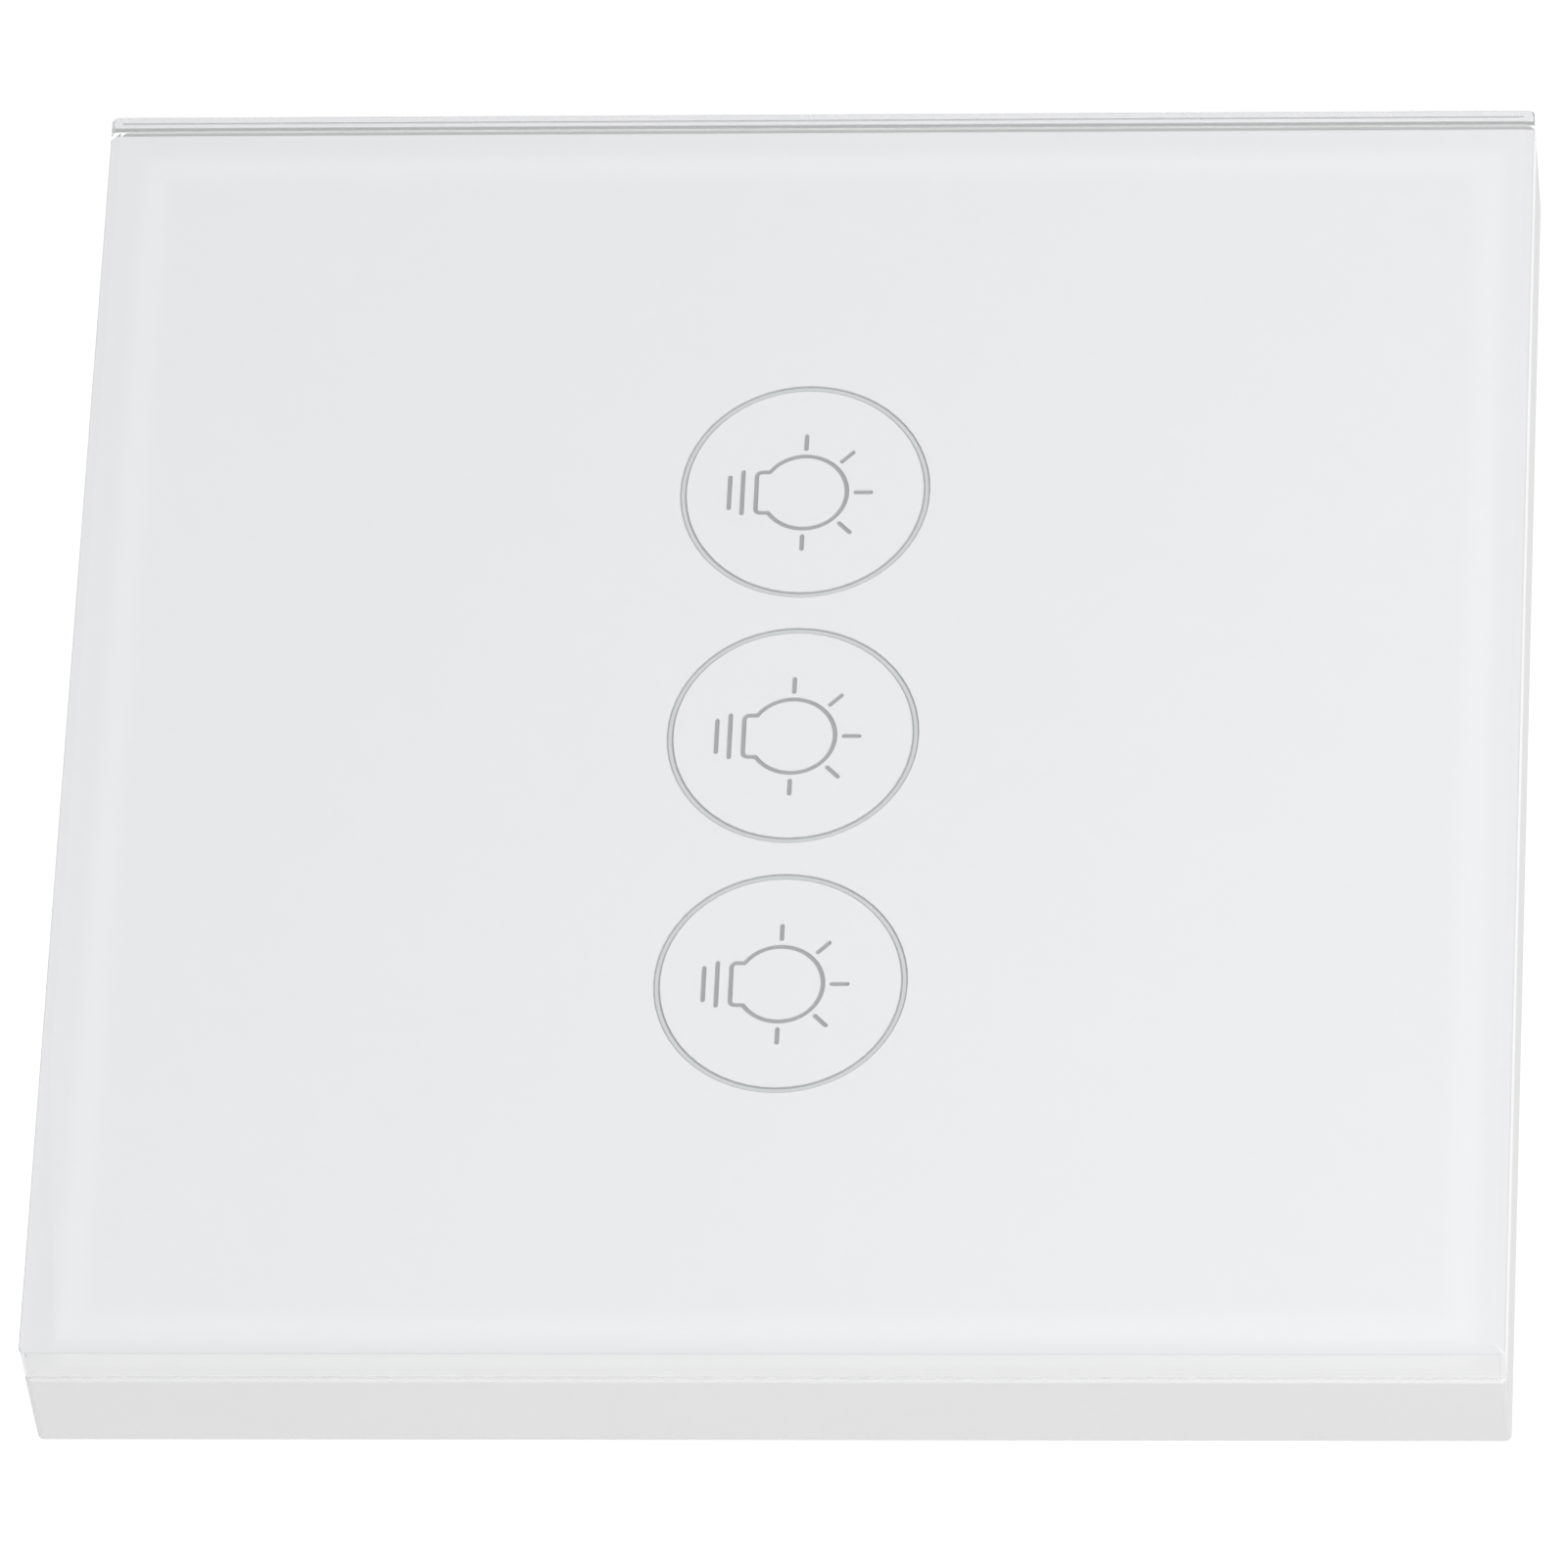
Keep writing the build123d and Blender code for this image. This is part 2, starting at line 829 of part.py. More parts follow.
with BuildPart() as clip_rivets:
    rivet_shoulder = yoke_front - clip_thickness
    rod(wall_plane, rivet_shoulder, rivet_radius, rivet_places)
    rod(rivet_shoulder, rivet_shoulder - rivet_head_height, rivet_head_radius, rivet_places)
    fillet(clip_rivets.edges().group_by(Axis.Y)[0], rivet_head_height / 2)
keep(clip_rivets, "clip_rivets")

# Places of the terminals, and the depths inside them, counted from the back of the housing
terminal_row = 2 * (boss_places[0][0] - boss_radius - terminal_side_gap)
terminal_pitch = terminal_row / terminal_count
terminal_places = [
    terminal_pitch * (i - (terminal_count - 1) / 2) for i in range(terminal_count)
]
cell_width = terminal_pitch - terminal_gap
terminal_low = -housing_height / 2
terminal_high = terminal_low + terminal_length
chamber_low = terminal_low + terminal_front_wall
chamber_high = chamber_low + chamber_length
cage_low = chamber_low + cage_clearance
cage_high = cage_low + cage_length
screw_z = (cage_low + cage_high) / 2
well_floor = housing_back - well_depth
chamber_roof = well_floor - shelf_thickness
cage_top = chamber_roof - cage_travel - cage_top_gap
cage_roof_bottom = cage_top - cage_roof
bar_back = cage_roof_bottom - cage_clearance
bar_front = bar_back - bar_thickness
cage_floor_top = bar_front - wire_space
cage_bottom = cage_floor_top - cage_wall
chamber_floor = cage_bottom - cage_clearance
chamber_width = cell_width - 2 * chamber_wall
cage_width = chamber_width - 2 * cage_clearance
bar_width = bar_share * (cage_width - 2 * cage_wall)
well_width = cell_width - 2 * well_wall
terminal_screw_head_radius = well_width / 2 - terminal_screw_head_gap
wire_hole_y = (bar_front + cage_floor_top) / 2

# Rear housing: the box behind the yoke, open where the terminals stand
with BuildPart() as rear_housing:
    slab(
        housing_back,
        wall_plane,
        housing_width,
        housing_height,
        corner=housing_corner_radius,
    )
    fillet(rear_housing.edges().group_by(Axis.Y)[-1], housing_corner_radius / 2)
    slab(
        housing_back,
        housing_back - label_recess_depth,
        label_width,
        label_height,
        [(0, label_rise)],
        corner=label_corner_radius,
        mode=Mode.SUBTRACT,
    )
    slab(housing_floor, wall_plane, inner_width, inner_height, mode=Mode.SUBTRACT)
    rod(housing_floor, power_board_back, boss_radius, boss_places)
    slab(
        housing_floor,
        power_board_back,
        boss_inset,
        boss_inset,
        corners((inner_width - boss_inset) / 2, (inner_height - boss_inset) / 2),
    )
    rod(
        power_board_back + boss_hole_depth,
        power_board_back,
        screw_radius + screw_hole_clearance,
        boss_places,
        mode=Mode.SUBTRACT,
    )
    cut_high = terminal_high + terminal_gap
    cut_height = cut_high - terminal_low + overrun
    slab(
        housing_back + overrun,
        power_board_back - terminal_gap,
        terminal_row + 2 * terminal_gap,
        cut_height,
        [(0, cut_high - cut_height / 2)],
        mode=Mode.SUBTRACT,
    )
    vent_y = (housing_depth + power_board_back) / 2
    with BuildSketch(Plane.XY.offset(inner_height / 2)) as vents:
        with Locations((0, vent_y)):
            with GridLocations(vent_pitch, 0, vent_count, 1):
                SlotOverall(vent_length, vent_width, rotation=90)
    extrude(amount=housing_wall, mode=Mode.SUBTRACT)
keep(rear_housing, "rear_housing")

# Housing screws, put in from the front
with BuildPart() as housing_screws:
    screw_head_front = tray_floor_front - screw_head_height
    rod(tray_floor_front + screw_length, tray_floor_front, screw_radius, boss_places)
    rod(tray_floor_front, screw_head_front, screw_head_radius, boss_places)
    fillet(housing_screws.edges().group_by(Axis.Y)[0], recess_width / 2)
    cross_recess(screw_head_front, -1, boss_places)
keep(housing_screws, "housing_screws")

# Power board, with holes for the screws, the socket, the terminals and the relays
leg_high = chamber_high
leg_z = leg_high - bar_thickness / 2
relay_left = relay_side_gap - inner_width / 2
relay_right = inner_width * (1 / 2 - supply_column_share)
relay_pitch = (relay_right - relay_left + relay_gap) / relay_count
relay_width = relay_pitch - relay_gap
relay_zone = relay_zone_share * (inner_height / 2 - terminal_high)
supply_low = terminal_high + relay_zone
relay_length = relay_zone - relay_foot_gap - relay_head_gap
relay_z = supply_low - relay_head_gap - relay_length / 2
relay_places = [
    (relay_left + relay_width / 2 + relay_pitch * i, relay_z) for i in range(relay_count)
]
relay_inner_width = relay_width - 2 * relay_wall
relay_inner_length = relay_length - 2 * relay_wall
flange_width = relay_inner_width - 2 * flange_gap
relay_pin_x = flange_width / 2 - relay_pin_margin
relay_pin_z = relay_inner_length / 2 - relay_pin_inset
relay_pin_spots = [
    (x + across, z + along)
    for x, z in relay_places
    for across, along in corners(relay_pin_x, relay_pin_z)
]
with BuildPart() as power_board:
    slab(
        power_board_back,
        power_board_front,
        inner_width - 2 * power_board_gap,
        inner_height - 2 * power_board_gap,
    )
    rod(
        power_board_back,
        power_board_front,
        screw_radius + screw_pass_clearance,
        boss_places,
        mode=Mode.SUBTRACT,
    )
    slab(
        power_board_back,
        power_board_front,
        bar_width + 2 * leg_clearance,
        bar_thickness + 2 * leg_clearance,
        [(x, leg_z) for x in terminal_places],
        mode=Mode.SUBTRACT,
    )
    slab(
        power_board_back,
        power_board_front,
        relay_pin_width + 2 * leg_clearance,
        relay_pin_thickness + 2 * leg_clearance,
        relay_pin_spots,
        mode=Mode.SUBTRACT,
    )
    with BuildSketch(level(power_board_back)) as tail_holes:
        with Locations(header_place):
            with GridLocations(header_pitch, header_pitch, header_columns, header_rows):
                Circle(pin_hole_radius)
    extrude(amount=power_board_thickness, mode=Mode.SUBTRACT)
keep(power_board, "power_board")

# Header socket that takes the pins, and its tails
socket_front = board_back + header_strip_depth + socket_front_gap
with BuildPart() as header_socket:
    slab(
        power_board_front,
        socket_front,
        socket_width,
        socket_height,
        [header_place],
    )
    with BuildSketch(level(power_board_front)) as socket_holes:
        with Locations(header_place):
            with GridLocations(header_pitch, header_pitch, header_columns, header_rows):
                Rectangle(pin_size + 2 * pin_hole_clearance, pin_size + 2 * pin_hole_clearance)
    extrude(amount=power_board_front - socket_front, mode=Mode.SUBTRACT)
keep(header_socket, "header_socket")

with BuildPart() as socket_pins:
    tail_back = power_board_back + tail_reach
    with BuildSketch(level(tail_back)) as tail_outlines:
        with Locations(header_place):
            with GridLocations(header_pitch, header_pitch, header_columns, header_rows):
                Rectangle(tail_size, tail_size)
    extrude(amount=tail_back - power_board_front)
    with BuildSketch(level(power_board_front)) as tail_feet:
        with Locations(header_place):
            with GridLocations(header_pitch, header_pitch, header_columns, header_rows):
                Rectangle(pin_size + 2 * pin_hole_clearance, tail_size)
    extrude(amount=tail_size / 2)
keep(socket_pins, "socket_pins")

# Terminal housings: one plastic cell for each wire, with a well for the screwdriver at the back
with BuildPart() as terminal_housings:
    cell_places = [(x, (terminal_low + terminal_high) / 2) for x in terminal_places]
    well_places = [(x, screw_z) for x in terminal_places]
    slab(
        housing_back,
        power_board_back,
        cell_width,
        terminal_length,
        cell_places,
    )
    slab(housing_back, well_floor, well_width, well_width, well_places, mode=Mode.SUBTRACT)
    rod(
        well_floor,
        chamber_roof,
        terminal_screw_radius + cage_clearance,
        well_places,
        mode=Mode.SUBTRACT,
    )
    slab(
        chamber_roof,
        chamber_floor,
        chamber_width,
        chamber_length,
        [(x, (chamber_low + chamber_high) / 2) for x in terminal_places],
        mode=Mode.SUBTRACT,
    )
    slab(
        chamber_floor,
        power_board_back,
        bar_width + 2 * leg_clearance,
        bar_thickness + leg_clearance,
        [(x, leg_high - (bar_thickness + leg_clearance) / 2) for x in terminal_places],
        mode=Mode.SUBTRACT,
    )
    roller(
        terminal_low,
        chamber_low,
        wire_hole_radius,
        [(x, wire_hole_y) for x in terminal_places],
        mode=Mode.SUBTRACT,
    )
keep(terminal_housings, "terminal_housings")

# Contact bars: each runs through its cage, turns towards the board and is soldered there
with BuildPart() as terminal_bars:
    bar_low = chamber_low + bar_front_gap
    slab(
        bar_back,
        bar_front,
        bar_width,
        leg_high - bar_low,
        [(x, (bar_low + leg_high) / 2) for x in terminal_places],
    )
    slab(
        bar_front,
        power_board_front - leg_protrusion,
        bar_width,
        bar_thickness,
        [(x, leg_z) for x in terminal_places],
    )
keep(terminal_bars, "terminal_bars")


def terminal_screw(x):
    """A terminal screw: its head stands in the well, and its tip stops just short of the bar."""
    with BuildPart() as screw:
        head_low = well_floor + head_gap
        head_high = head_low + terminal_screw_head_height
        rod(head_low, cage_roof_bottom, terminal_screw_radius - thread_clearance, [(x, screw_z)])
        rod(head_high, head_low, terminal_screw_head_radius, [(x, screw_z)])
        fillet(screw.edges().group_by(Axis.Y)[-1], terminal_screw_edge_radius)
        slab(
            head_high,
            head_high - slot_depth,
            2 * terminal_screw_head_radius + overrun,
            slot_width,
            [(x, screw_z)],
            mode=Mode.SUBTRACT,
        )
        slab(
            head_high,
            head_high - slot_depth,
            slot_width,
            terminal_screw_head_radius + slot_width,
            [(x, screw_z)],
            mode=Mode.SUBTRACT,
        )
    return screw


def terminal_cage(x):
    """A rising cage: a brass loop that the screw draws to the back, to press the wire on the bar."""
    with BuildPart() as cage:
        cage_y = (cage_top + cage_bottom) / 2
        opening_y = (cage_roof_bottom + cage_floor_top) / 2
        block(cage_low, cage_high, cage_width, cage_top - cage_bottom, [(x, cage_y)])
        block(
            cage_low,
            cage_high,
            cage_width - 2 * cage_wall,
            cage_roof_bottom - cage_floor_top,
            [(x, opening_y)],
            mode=Mode.SUBTRACT,
        )
        rod(
            cage_top,
            cage_roof_bottom,
            terminal_screw_radius,
            [(x, screw_z)],
            mode=Mode.SUBTRACT,
        )
    return cage


for number, x in enumerate(terminal_places, start=1):
    keep(terminal_screw(x), f"terminal_screw_{number}")
    keep(terminal_cage(x), f"terminal_cage_{number}")

# Relay bases and cases
bobbin_radius = bobbin_share * flange_width
core_radius = core_share * flange_width
pole_radius = pole_share * flange_width
winding_radius = winding_share * flange_width
coil_height = relay_base_thickness + coil_foot_gap + flange_width / 2
armature_top = coil_height + flange_width / 2 + coil_yoke_gap + relay_yoke_thickness
relay_height = armature_top + relay_head_room + relay_wall
relay_foot = power_board_back
relay_base_top = relay_foot + relay_base_thickness
with BuildPart() as relay_bases:
    slab(
        relay_base_top,
        relay_foot,
        relay_inner_width - 2 * relay_base_fit,
        relay_inner_length - 2 * relay_base_fit,
        relay_places,
    )
keep(relay_bases, "relay_bases")

with BuildPart() as relay_cases:
    relay_top = relay_foot + relay_height
    slab(relay_top, relay_foot, relay_width, relay_length, relay_places)
    fillet(relay_cases.edges().group_by(Axis.Y)[-1], relay_wall / 2)
    slab(
        relay_top - relay_wall,
        relay_foot,
        relay_inner_width,
        relay_inner_length,
        relay_places,
        mode=Mode.SUBTRACT,
    )
keep(relay_cases, "relay_cases")

# Relay bobbins, windings, and the yokes with their cores
coil_spots = [(x, relay_foot + coil_height) for x, z in relay_places]
yoke_low = relay_z - relay_inner_length / 2 + relay_back_room
armature_low = relay_z + relay_inner_length / 2 - armature_room
coil_low = yoke_low + relay_yoke_thickness + coil_back_gap
coil_high = armature_low - coil_front_gap
relay_yoke_width = flange_width - 2 * relay_yoke_margin
armature_width = flange_width - 2 * armature_margin
leaf_width = armature_width - 2 * leaf_margin
with BuildPart() as relay_bobbins:
    roller(coil_low, coil_high, bobbin_radius, coil_spots)
    block(coil_low, coil_low + flange_thickness, flange_width, flange_width, coil_spots)
    block(coil_high - flange_thickness, coil_high, flange_width, flange_width, coil_spots)
    roller(coil_low, coil_high, core_radius + core_fit, coil_spots, mode=Mode.SUBTRACT)
keep(relay_bobbins, "relay_bobbins")

with BuildPart() as relay_windings:
    winding_low = coil_low + flange_thickness
    winding_high = coil_high - flange_thickness
    roller(winding_low, winding_high, winding_radius, coil_spots)
    roller(winding_low, winding_high, bobbin_radius, coil_spots, mode=Mode.SUBTRACT)
keep(relay_windings, "relay_windings")

with BuildPart() as relay_yokes:
    yoke_high = armature_low - relay_yoke_gap
    yoke_top = relay_foot + armature_top
    block(
        yoke_low,
        yoke_low + relay_yoke_thickness,
        relay_yoke_width,
        yoke_top - relay_base_top,
        [(x, (yoke_top + relay_base_top) / 2) for x, z in relay_places],
    )
    block(
        yoke_low,
        yoke_high,
        relay_yoke_width,
        relay_yoke_thickness,
        [(x, yoke_top - relay_yoke_thickness / 2) for x, z in relay_places],
    )
    pole_high = armature_low - pole_gap
    roller(yoke_low + relay_yoke_thickness, pole_high, core_radius, coil_spots)
    roller(pole_high - pole_thickness, pole_high, pole_radius, coil_spots)
keep(relay_yokes, "relay_yokes")

# Fixed contacts of the relays, and the pins that go through the board
contact_y = relay_foot + contact_height
blade_low = armature_low - blade_gap
blade_high = blade_low + blade_thickness
with BuildPart() as relay_fixed_contacts:
    block(
        blade_low,
        blade_high,
        blade_width,
        blade_top - relay_base_thickness,
        [(x, relay_foot + (blade_top + relay_base_thickness) / 2) for x, z in relay_places],
    )
    roller(
        blade_high,
        blade_high + fixed_contact_thickness,
        contact_radius,
        [(x, contact_y) for x, z in relay_places],
    )
keep(relay_fixed_contacts, "relay_fixed_contacts")

with BuildPart() as relay_pins:
    slab(
        relay_foot,
        power_board_front - pin_protrusion,
        relay_pin_width,
        relay_pin_thickness,
        relay_pin_spots,
    )
keep(relay_pins, "relay_pins")


def relay_armature(x):
    """The steel flap of one relay, which tilts on its round edge at the end of the yoke."""
    with BuildPart() as armature:
        pivot_y = relay_foot + armature_top - armature_thickness / 2
        low_y = relay_foot + armature_bottom
        with BuildSketch(Plane.YZ.offset(x - armature_width / 2)) as flap:
            with Locations((pivot_y, armature_low + armature_thickness / 2)):
                Circle(armature_thickness / 2)
            with Locations(((pivot_y + low_y) / 2, armature_low + armature_thickness / 2)):
                Rectangle(pivot_y - low_y, armature_thickness)
        extrude(flap.sketch, amount=armature_width)
    return armature


def contact_leaf(x):
    """The spring leaf on the back of the armature, with the moving contact at its foot."""
    with BuildPart() as leaf:
        low = armature_low + armature_thickness
        leaf_top = armature_top - leaf_top_gap
        block(
            low,
            low + leaf_thickness,
            leaf_width,
            leaf_top - leaf_bottom,
            [(x, relay_foot + (leaf_top + leaf_bottom) / 2)],
        )
        roller(low - moving_contact_thickness, low, contact_radius, [(x, contact_y)])
    return leaf


for number, (x, z) in enumerate(relay_places, start=1):
    keep(relay_armature(x), f"relay_armature_{number}")
    keep(contact_leaf(x), f"contact_leaf_{number}")

# Supply transformer: bobbin with its base, ferrite core and winding
transformer_left = boss_radius - boss_places[0][0] + transformer_side_gap
transformer_right = -socket_width / 2 - transformer_side_gap
transformer_width = transformer_right - transformer_left
transformer_low = supply_low + transformer_foot_gap
transformer_high = inner_height / 2 - transformer_head_gap
transformer_base_depth = transformer_high - transformer_low
winding_bulge = transformer_base_depth - 2 * winding_inset
transformer_place = [
    ((transformer_left + transformer_right) / 2, (transformer_low + transformer_high) / 2)
]
transformer_foot = power_board_back + transformer_base_thickness
transformer_top = transformer_foot + transformer_height
winding_width = transformer_width - 2 * transformer_core_wall
winding_height = transformer_height - 2 * transformer_core_wall
with BuildPart() as transformer_bobbin:
    slab(
        transformer_foot,
        power_board_back,
        transformer_width,
        transformer_base_depth,
        transformer_place,
    )
keep(transformer_bobbin, "transformer_bobbin")

with BuildPart() as transformer_core:
    slab(
        transformer_top,
        transformer_foot,
        transformer_width,
        transformer_core_depth,
        transformer_place,
    )
    slab(
        transformer_top - transformer_core_wall,
        transformer_foot + transformer_core_wall,
        winding_width,
        transformer_core_depth,
        transformer_place,
        mode=Mode.SUBTRACT,
    )
keep(transformer_core, "transformer_core")

with BuildPart() as transformer_winding:
    slab(
        transformer_top - transformer_core_wall,
        transformer_foot + transformer_core_wall,
        winding_width,
        winding_bulge,
        transformer_place,
    )
    fillet(
        transformer_winding.edges().filter_by(Axis.X),
        winding_corner_radius,
    )
keep(transformer_winding, "transformer_winding")


def capacitor(x, z, radius, height):
    """An upright can on the power board, with its corners rolled and a cross scored on its end."""
    with BuildPart() as can:
        top = power_board_back + height
        rod(top, power_board_back, radius, [(x, z)])
        fillet(can.edges().filter_by(GeomType.CIRCLE), capacitor_edge_radius)
        for size in ((radius, vent_score_width), (vent_score_width, radius)):
            slab(top, top - vent_score_depth, *size, [(x, z)], mode=Mode.SUBTRACT)
    return can


# The column beside the relays: two capacitors, and the fuse and varistor by the wall
fuse_left = inner_width / 2 - fuse_side_gap - 2 * (fuse_radius + fuse_cap_step)
capacitor_x = (relay_right + fuse_left) / 2
input_capacitor_z = terminal_high + input_capacitor_gap + input_capacitor_radius
output_capacitor_z = (
    input_capacitor_z + input_capacitor_radius + part_gap + output_capacitor_radius
)
keep(
    capacitor(capacitor_x, input_capacitor_z, input_capacitor_radius, input_capacitor_height),
    "input_capacitor",
)
keep(
    capacitor(
        capacitor_x, output_capacitor_z, output_capacitor_radius, output_capacitor_height
    ),
    "output_capacitor",
)

# Filter choke: a winding between two round flanges
choke_z = (supply_low + inner_height / 2) / 2
choke_place = [(socket_width / 2 + choke_side_gap + choke_radius, choke_z)]
choke_top = power_board_back + choke_height
with BuildPart() as filter_choke:
    rod(power_board_back + choke_flange_thickness, power_board_back, choke_radius, choke_place)
    rod(choke_top, choke_top - choke_flange_thickness, choke_radius, choke_place)
    rod(choke_top, power_board_back, choke_winding_radius, choke_place)
keep(filter_choke, "filter_choke")

# Varistor: a lacquered disc on two leads
varistor_x = inner_width / 2 - varistor_side_gap - varistor_thickness / 2
varistor_y = power_board_back + varistor_lift + varistor_radius
varistor_z = choke_z - choke_radius - varistor_gap - varistor_radius
with BuildPart() as varistor:
    with BuildSketch(Plane.YZ.offset(varistor_x - varistor_thickness / 2)) as disc:
        with Locations((varistor_y, varistor_z)):
            Circle(varistor_radius)
    extrude(amount=varistor_thickness)
    fillet(varistor.edges().filter_by(GeomType.CIRCLE), varistor_edge_radius)
    rod(
        varistor_y,
        power_board_back,
        lead_radius,
        [(varistor_x, varistor_z + side * lead_spread / 2) for side in (-1, 1)],
    )
keep(varistor, "varistor")

# Line fuse: a tube with a metal cap on each end, lying on the board
fuse_reach = fuse_radius + fuse_cap_step
fuse_spot = [(fuse_left + fuse_reach, power_board_back + fuse_reach)]
fuse_high = varistor_z - varistor_radius - varistor_gap
fuse_low = fuse_high - fuse_length
with BuildPart() as line_fuse:
    roller(fuse_low, fuse_high, fuse_radius, fuse_spot)
    roller(fuse_low, fuse_low + fuse_cap_length, fuse_reach, fuse_spot)
    roller(fuse_high - fuse_cap_length, fuse_high, fuse_reach, fuse_spot)
keep(line_fuse, "line_fuse")

# Supply chip and rectifier, with their legs
chip_row_z = (
    header_z - socket_height / 2 - chip_row_gap - leg_reach - supply_chip_width / 2
)
supply_place = [((supply_chip_length + chip_spacing) / 2, chip_row_z)]
rectifier_place = [(-(rectifier_length + chip_spacing) / 2, chip_row_z)]
with BuildPart() as power_chips:
    slab(
        power_board_back + chip_stand_off + supply_chip_height,
        power_board_back + chip_stand_off,
        supply_chip_length,
        supply_chip_width,
        supply_place,
    )
    slab(
        power_board_back + chip_stand_off + rectifier_height,
        power_board_back + chip_stand_off,
        rectifier_length,
        rectifier_width,
        rectifier_place,
    )
    chip_legs(
        power_board_back, 1, supply_place, leg_pitch, supply_chip_legs, supply_chip_width
    )
    chip_legs(
        power_board_back,
        1,
        rectifier_place,
        rectifier_leg_pitch,
        rectifier_legs,
        rectifier_width,
    )
keep(power_chips, "power_chips")
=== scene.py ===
import json
import math

import bmesh
import bpy
from bpy.props import FloatProperty, FloatVectorProperty, PointerProperty
from bpy.types import Operator, Panel, PropertyGroup
from mathutils import Matrix, Vector


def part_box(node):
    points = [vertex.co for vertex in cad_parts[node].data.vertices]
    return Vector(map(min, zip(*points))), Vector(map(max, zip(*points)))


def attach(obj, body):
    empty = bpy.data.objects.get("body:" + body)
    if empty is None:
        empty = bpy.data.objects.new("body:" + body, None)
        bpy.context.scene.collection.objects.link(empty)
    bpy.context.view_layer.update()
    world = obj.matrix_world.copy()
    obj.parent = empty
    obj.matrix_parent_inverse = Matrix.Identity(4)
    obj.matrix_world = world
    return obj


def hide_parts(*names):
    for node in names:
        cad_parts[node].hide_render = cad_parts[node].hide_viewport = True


bl_info = {
    "name": "Touch light switch",
    "version": (1, 0, 0),
    "blender": (4, 5, 0),
    "location": "View3D > Sidebar > Touch Switch",
    "description": "Finishes, small fittings and studio of a glass touch switch",
    "category": "Object",
}

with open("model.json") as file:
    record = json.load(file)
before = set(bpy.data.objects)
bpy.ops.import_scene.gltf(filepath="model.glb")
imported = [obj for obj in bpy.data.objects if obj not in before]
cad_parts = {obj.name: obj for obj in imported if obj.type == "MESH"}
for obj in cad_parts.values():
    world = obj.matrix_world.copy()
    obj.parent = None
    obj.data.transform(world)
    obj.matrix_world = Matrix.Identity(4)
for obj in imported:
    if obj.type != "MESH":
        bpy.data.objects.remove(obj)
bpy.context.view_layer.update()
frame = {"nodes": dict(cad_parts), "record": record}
MM = 0.001

# The camera, fitted to the outline of the square face: its place in millimetres, and the
# directions that the right and the top of the picture have in the scene.
CAMERA_PLACE = (525.448, -855.623, 84.711)
CAMERA_RIGHT = (-0.043004, 0.073579, 0.996362)
CAMERA_UP = (-0.851409, -0.524499, 0.001985)

# The floor: pale, with a glow that only shows where it is looked at.
FLOOR_COLOUR = (0.86, 0.86, 0.86, 1)
FLOOR_GLOW = 0.6
FLOOR_HALF_SIZE = 12.0

# The glass and the print: how far back the painted grey shade of the ground rim goes, how thin the
# skin of a side is taken to be, and the painted band of light and the painted shade that lie round
# the print.
RIM_DEPTH = 0.2 * MM
SIDE_SKIN = 0.01 * MM
BAND_START = 0.45
BAND_END = 1.7
PAINTED_BAND_LIGHT = 0.03
PAINTED_EDGE_SHADE = 0.015

# Reliefs in the finish, and the bevel of soldered ends.
METAL_GRAIN_DEPTH = 0.03 * MM
TRACK_HEIGHT = 0.04 * MM
MARK_DEPTH = 0.12 * MM
SOLDER_BEVEL = 0.05 * MM

# Printed boards: the blocks that share a direction, the shares of slanted and of holed cells,
# and the radii of a plated hole as shares of a cell.
CELLS_IN_BLOCK = 5.0
SLANTED_SHARE = 0.28
HOLED_SHARE = 0.09
HOLE_RADIUS = 0.14
HOLE_RIM_RADIUS = 0.3

# The stripe along a capacitor's sleeve as a share of its width, and how dark the painted shade in
# the grooves between the turns of a winding is.
STRIPE_SHARE = 0.14
GROOVE_SHADE = 0.35


def colour_property(title, words, default):
    return FloatVectorProperty(
        name=title, description=words, subtype="COLOR", size=3, min=0, max=1, default=default
    )


def length_property(title, words, default):
    return FloatProperty(
        name=title, description=words, subtype="DISTANCE", unit="LENGTH", min=0, default=default
    )


def factor_property(title, words, default, top=1.0):
    return FloatProperty(
        name=title, description=words, subtype="FACTOR", min=0, max=top, default=default
    )


def number_property(title, words, default):
    return FloatProperty(name=title, description=words, default=default)


class SwitchPanelLooks(PropertyGroup):
    glass_tint: colour_property("Glass tint", "Colour of the clear glass", (0.985, 0.993, 0.990))
    # The ground rim and ground sides of the glass are tinted grey as painted shade, for the
    # scatter of ground glass.
    rim_painted_shade: colour_property("Glass rim", "Tint of the ground rim", (0.82, 0.83, 0.83))
    side_painted_shade: colour_property("Glass side", "Tint of the ground sides", (0.86, 0.865, 0.845))
    depth_tint: colour_property("Glass depth", "Tint of a long way in glass", (0.88, 0.915, 0.905))
    depth_density: number_property("Glass density", "How fast the tint builds up per metre", 40.0)
    rim_width: length_property("Rim width", "Width of the ground rim", 0.08 * MM)
    glass_bend: number_property("Glass bend", "Refraction of the glass", 1.52)
    print_colour: colour_property("Print", "White print behind the glass", (0.846, 0.838, 0.856))
    film_colour: colour_property("Film", "Light grey of the film in a ring", (0.62, 0.63, 0.635))
    # Icons and ring edges are painted this grey as shade in their narrow windows.
    painted_line_shade: colour_property("Film lines", "Grey of icons and ring edges", (0.34, 0.345, 0.35))
    icon_pitch: length_property("Icon pitch", "Distance from one icon to the next", 17.06 * MM)
    ring_radius: length_property("Ring radius", "Middle radius of a ring's band", 7.28 * MM)
    ring_band: length_property("Ring band", "Width of the light middle of a ring", 0.2 * MM)
    ink_bite: length_property("Ink bite", "How far the ink reaches into the glass", 0.02 * MM)
    half_width: length_property("Half width", "Half of the width of the face", 43.0 * MM)
    # The painted band of light round the print lies this far in, with painted shade nearer the
    # edge.
    edge_band: length_property("Edge band", "Distance of the light band from the edge", 2.6 * MM)
    frame_colour: colour_property("Front frame", "White of the front frame", (0.80, 0.80, 0.80))


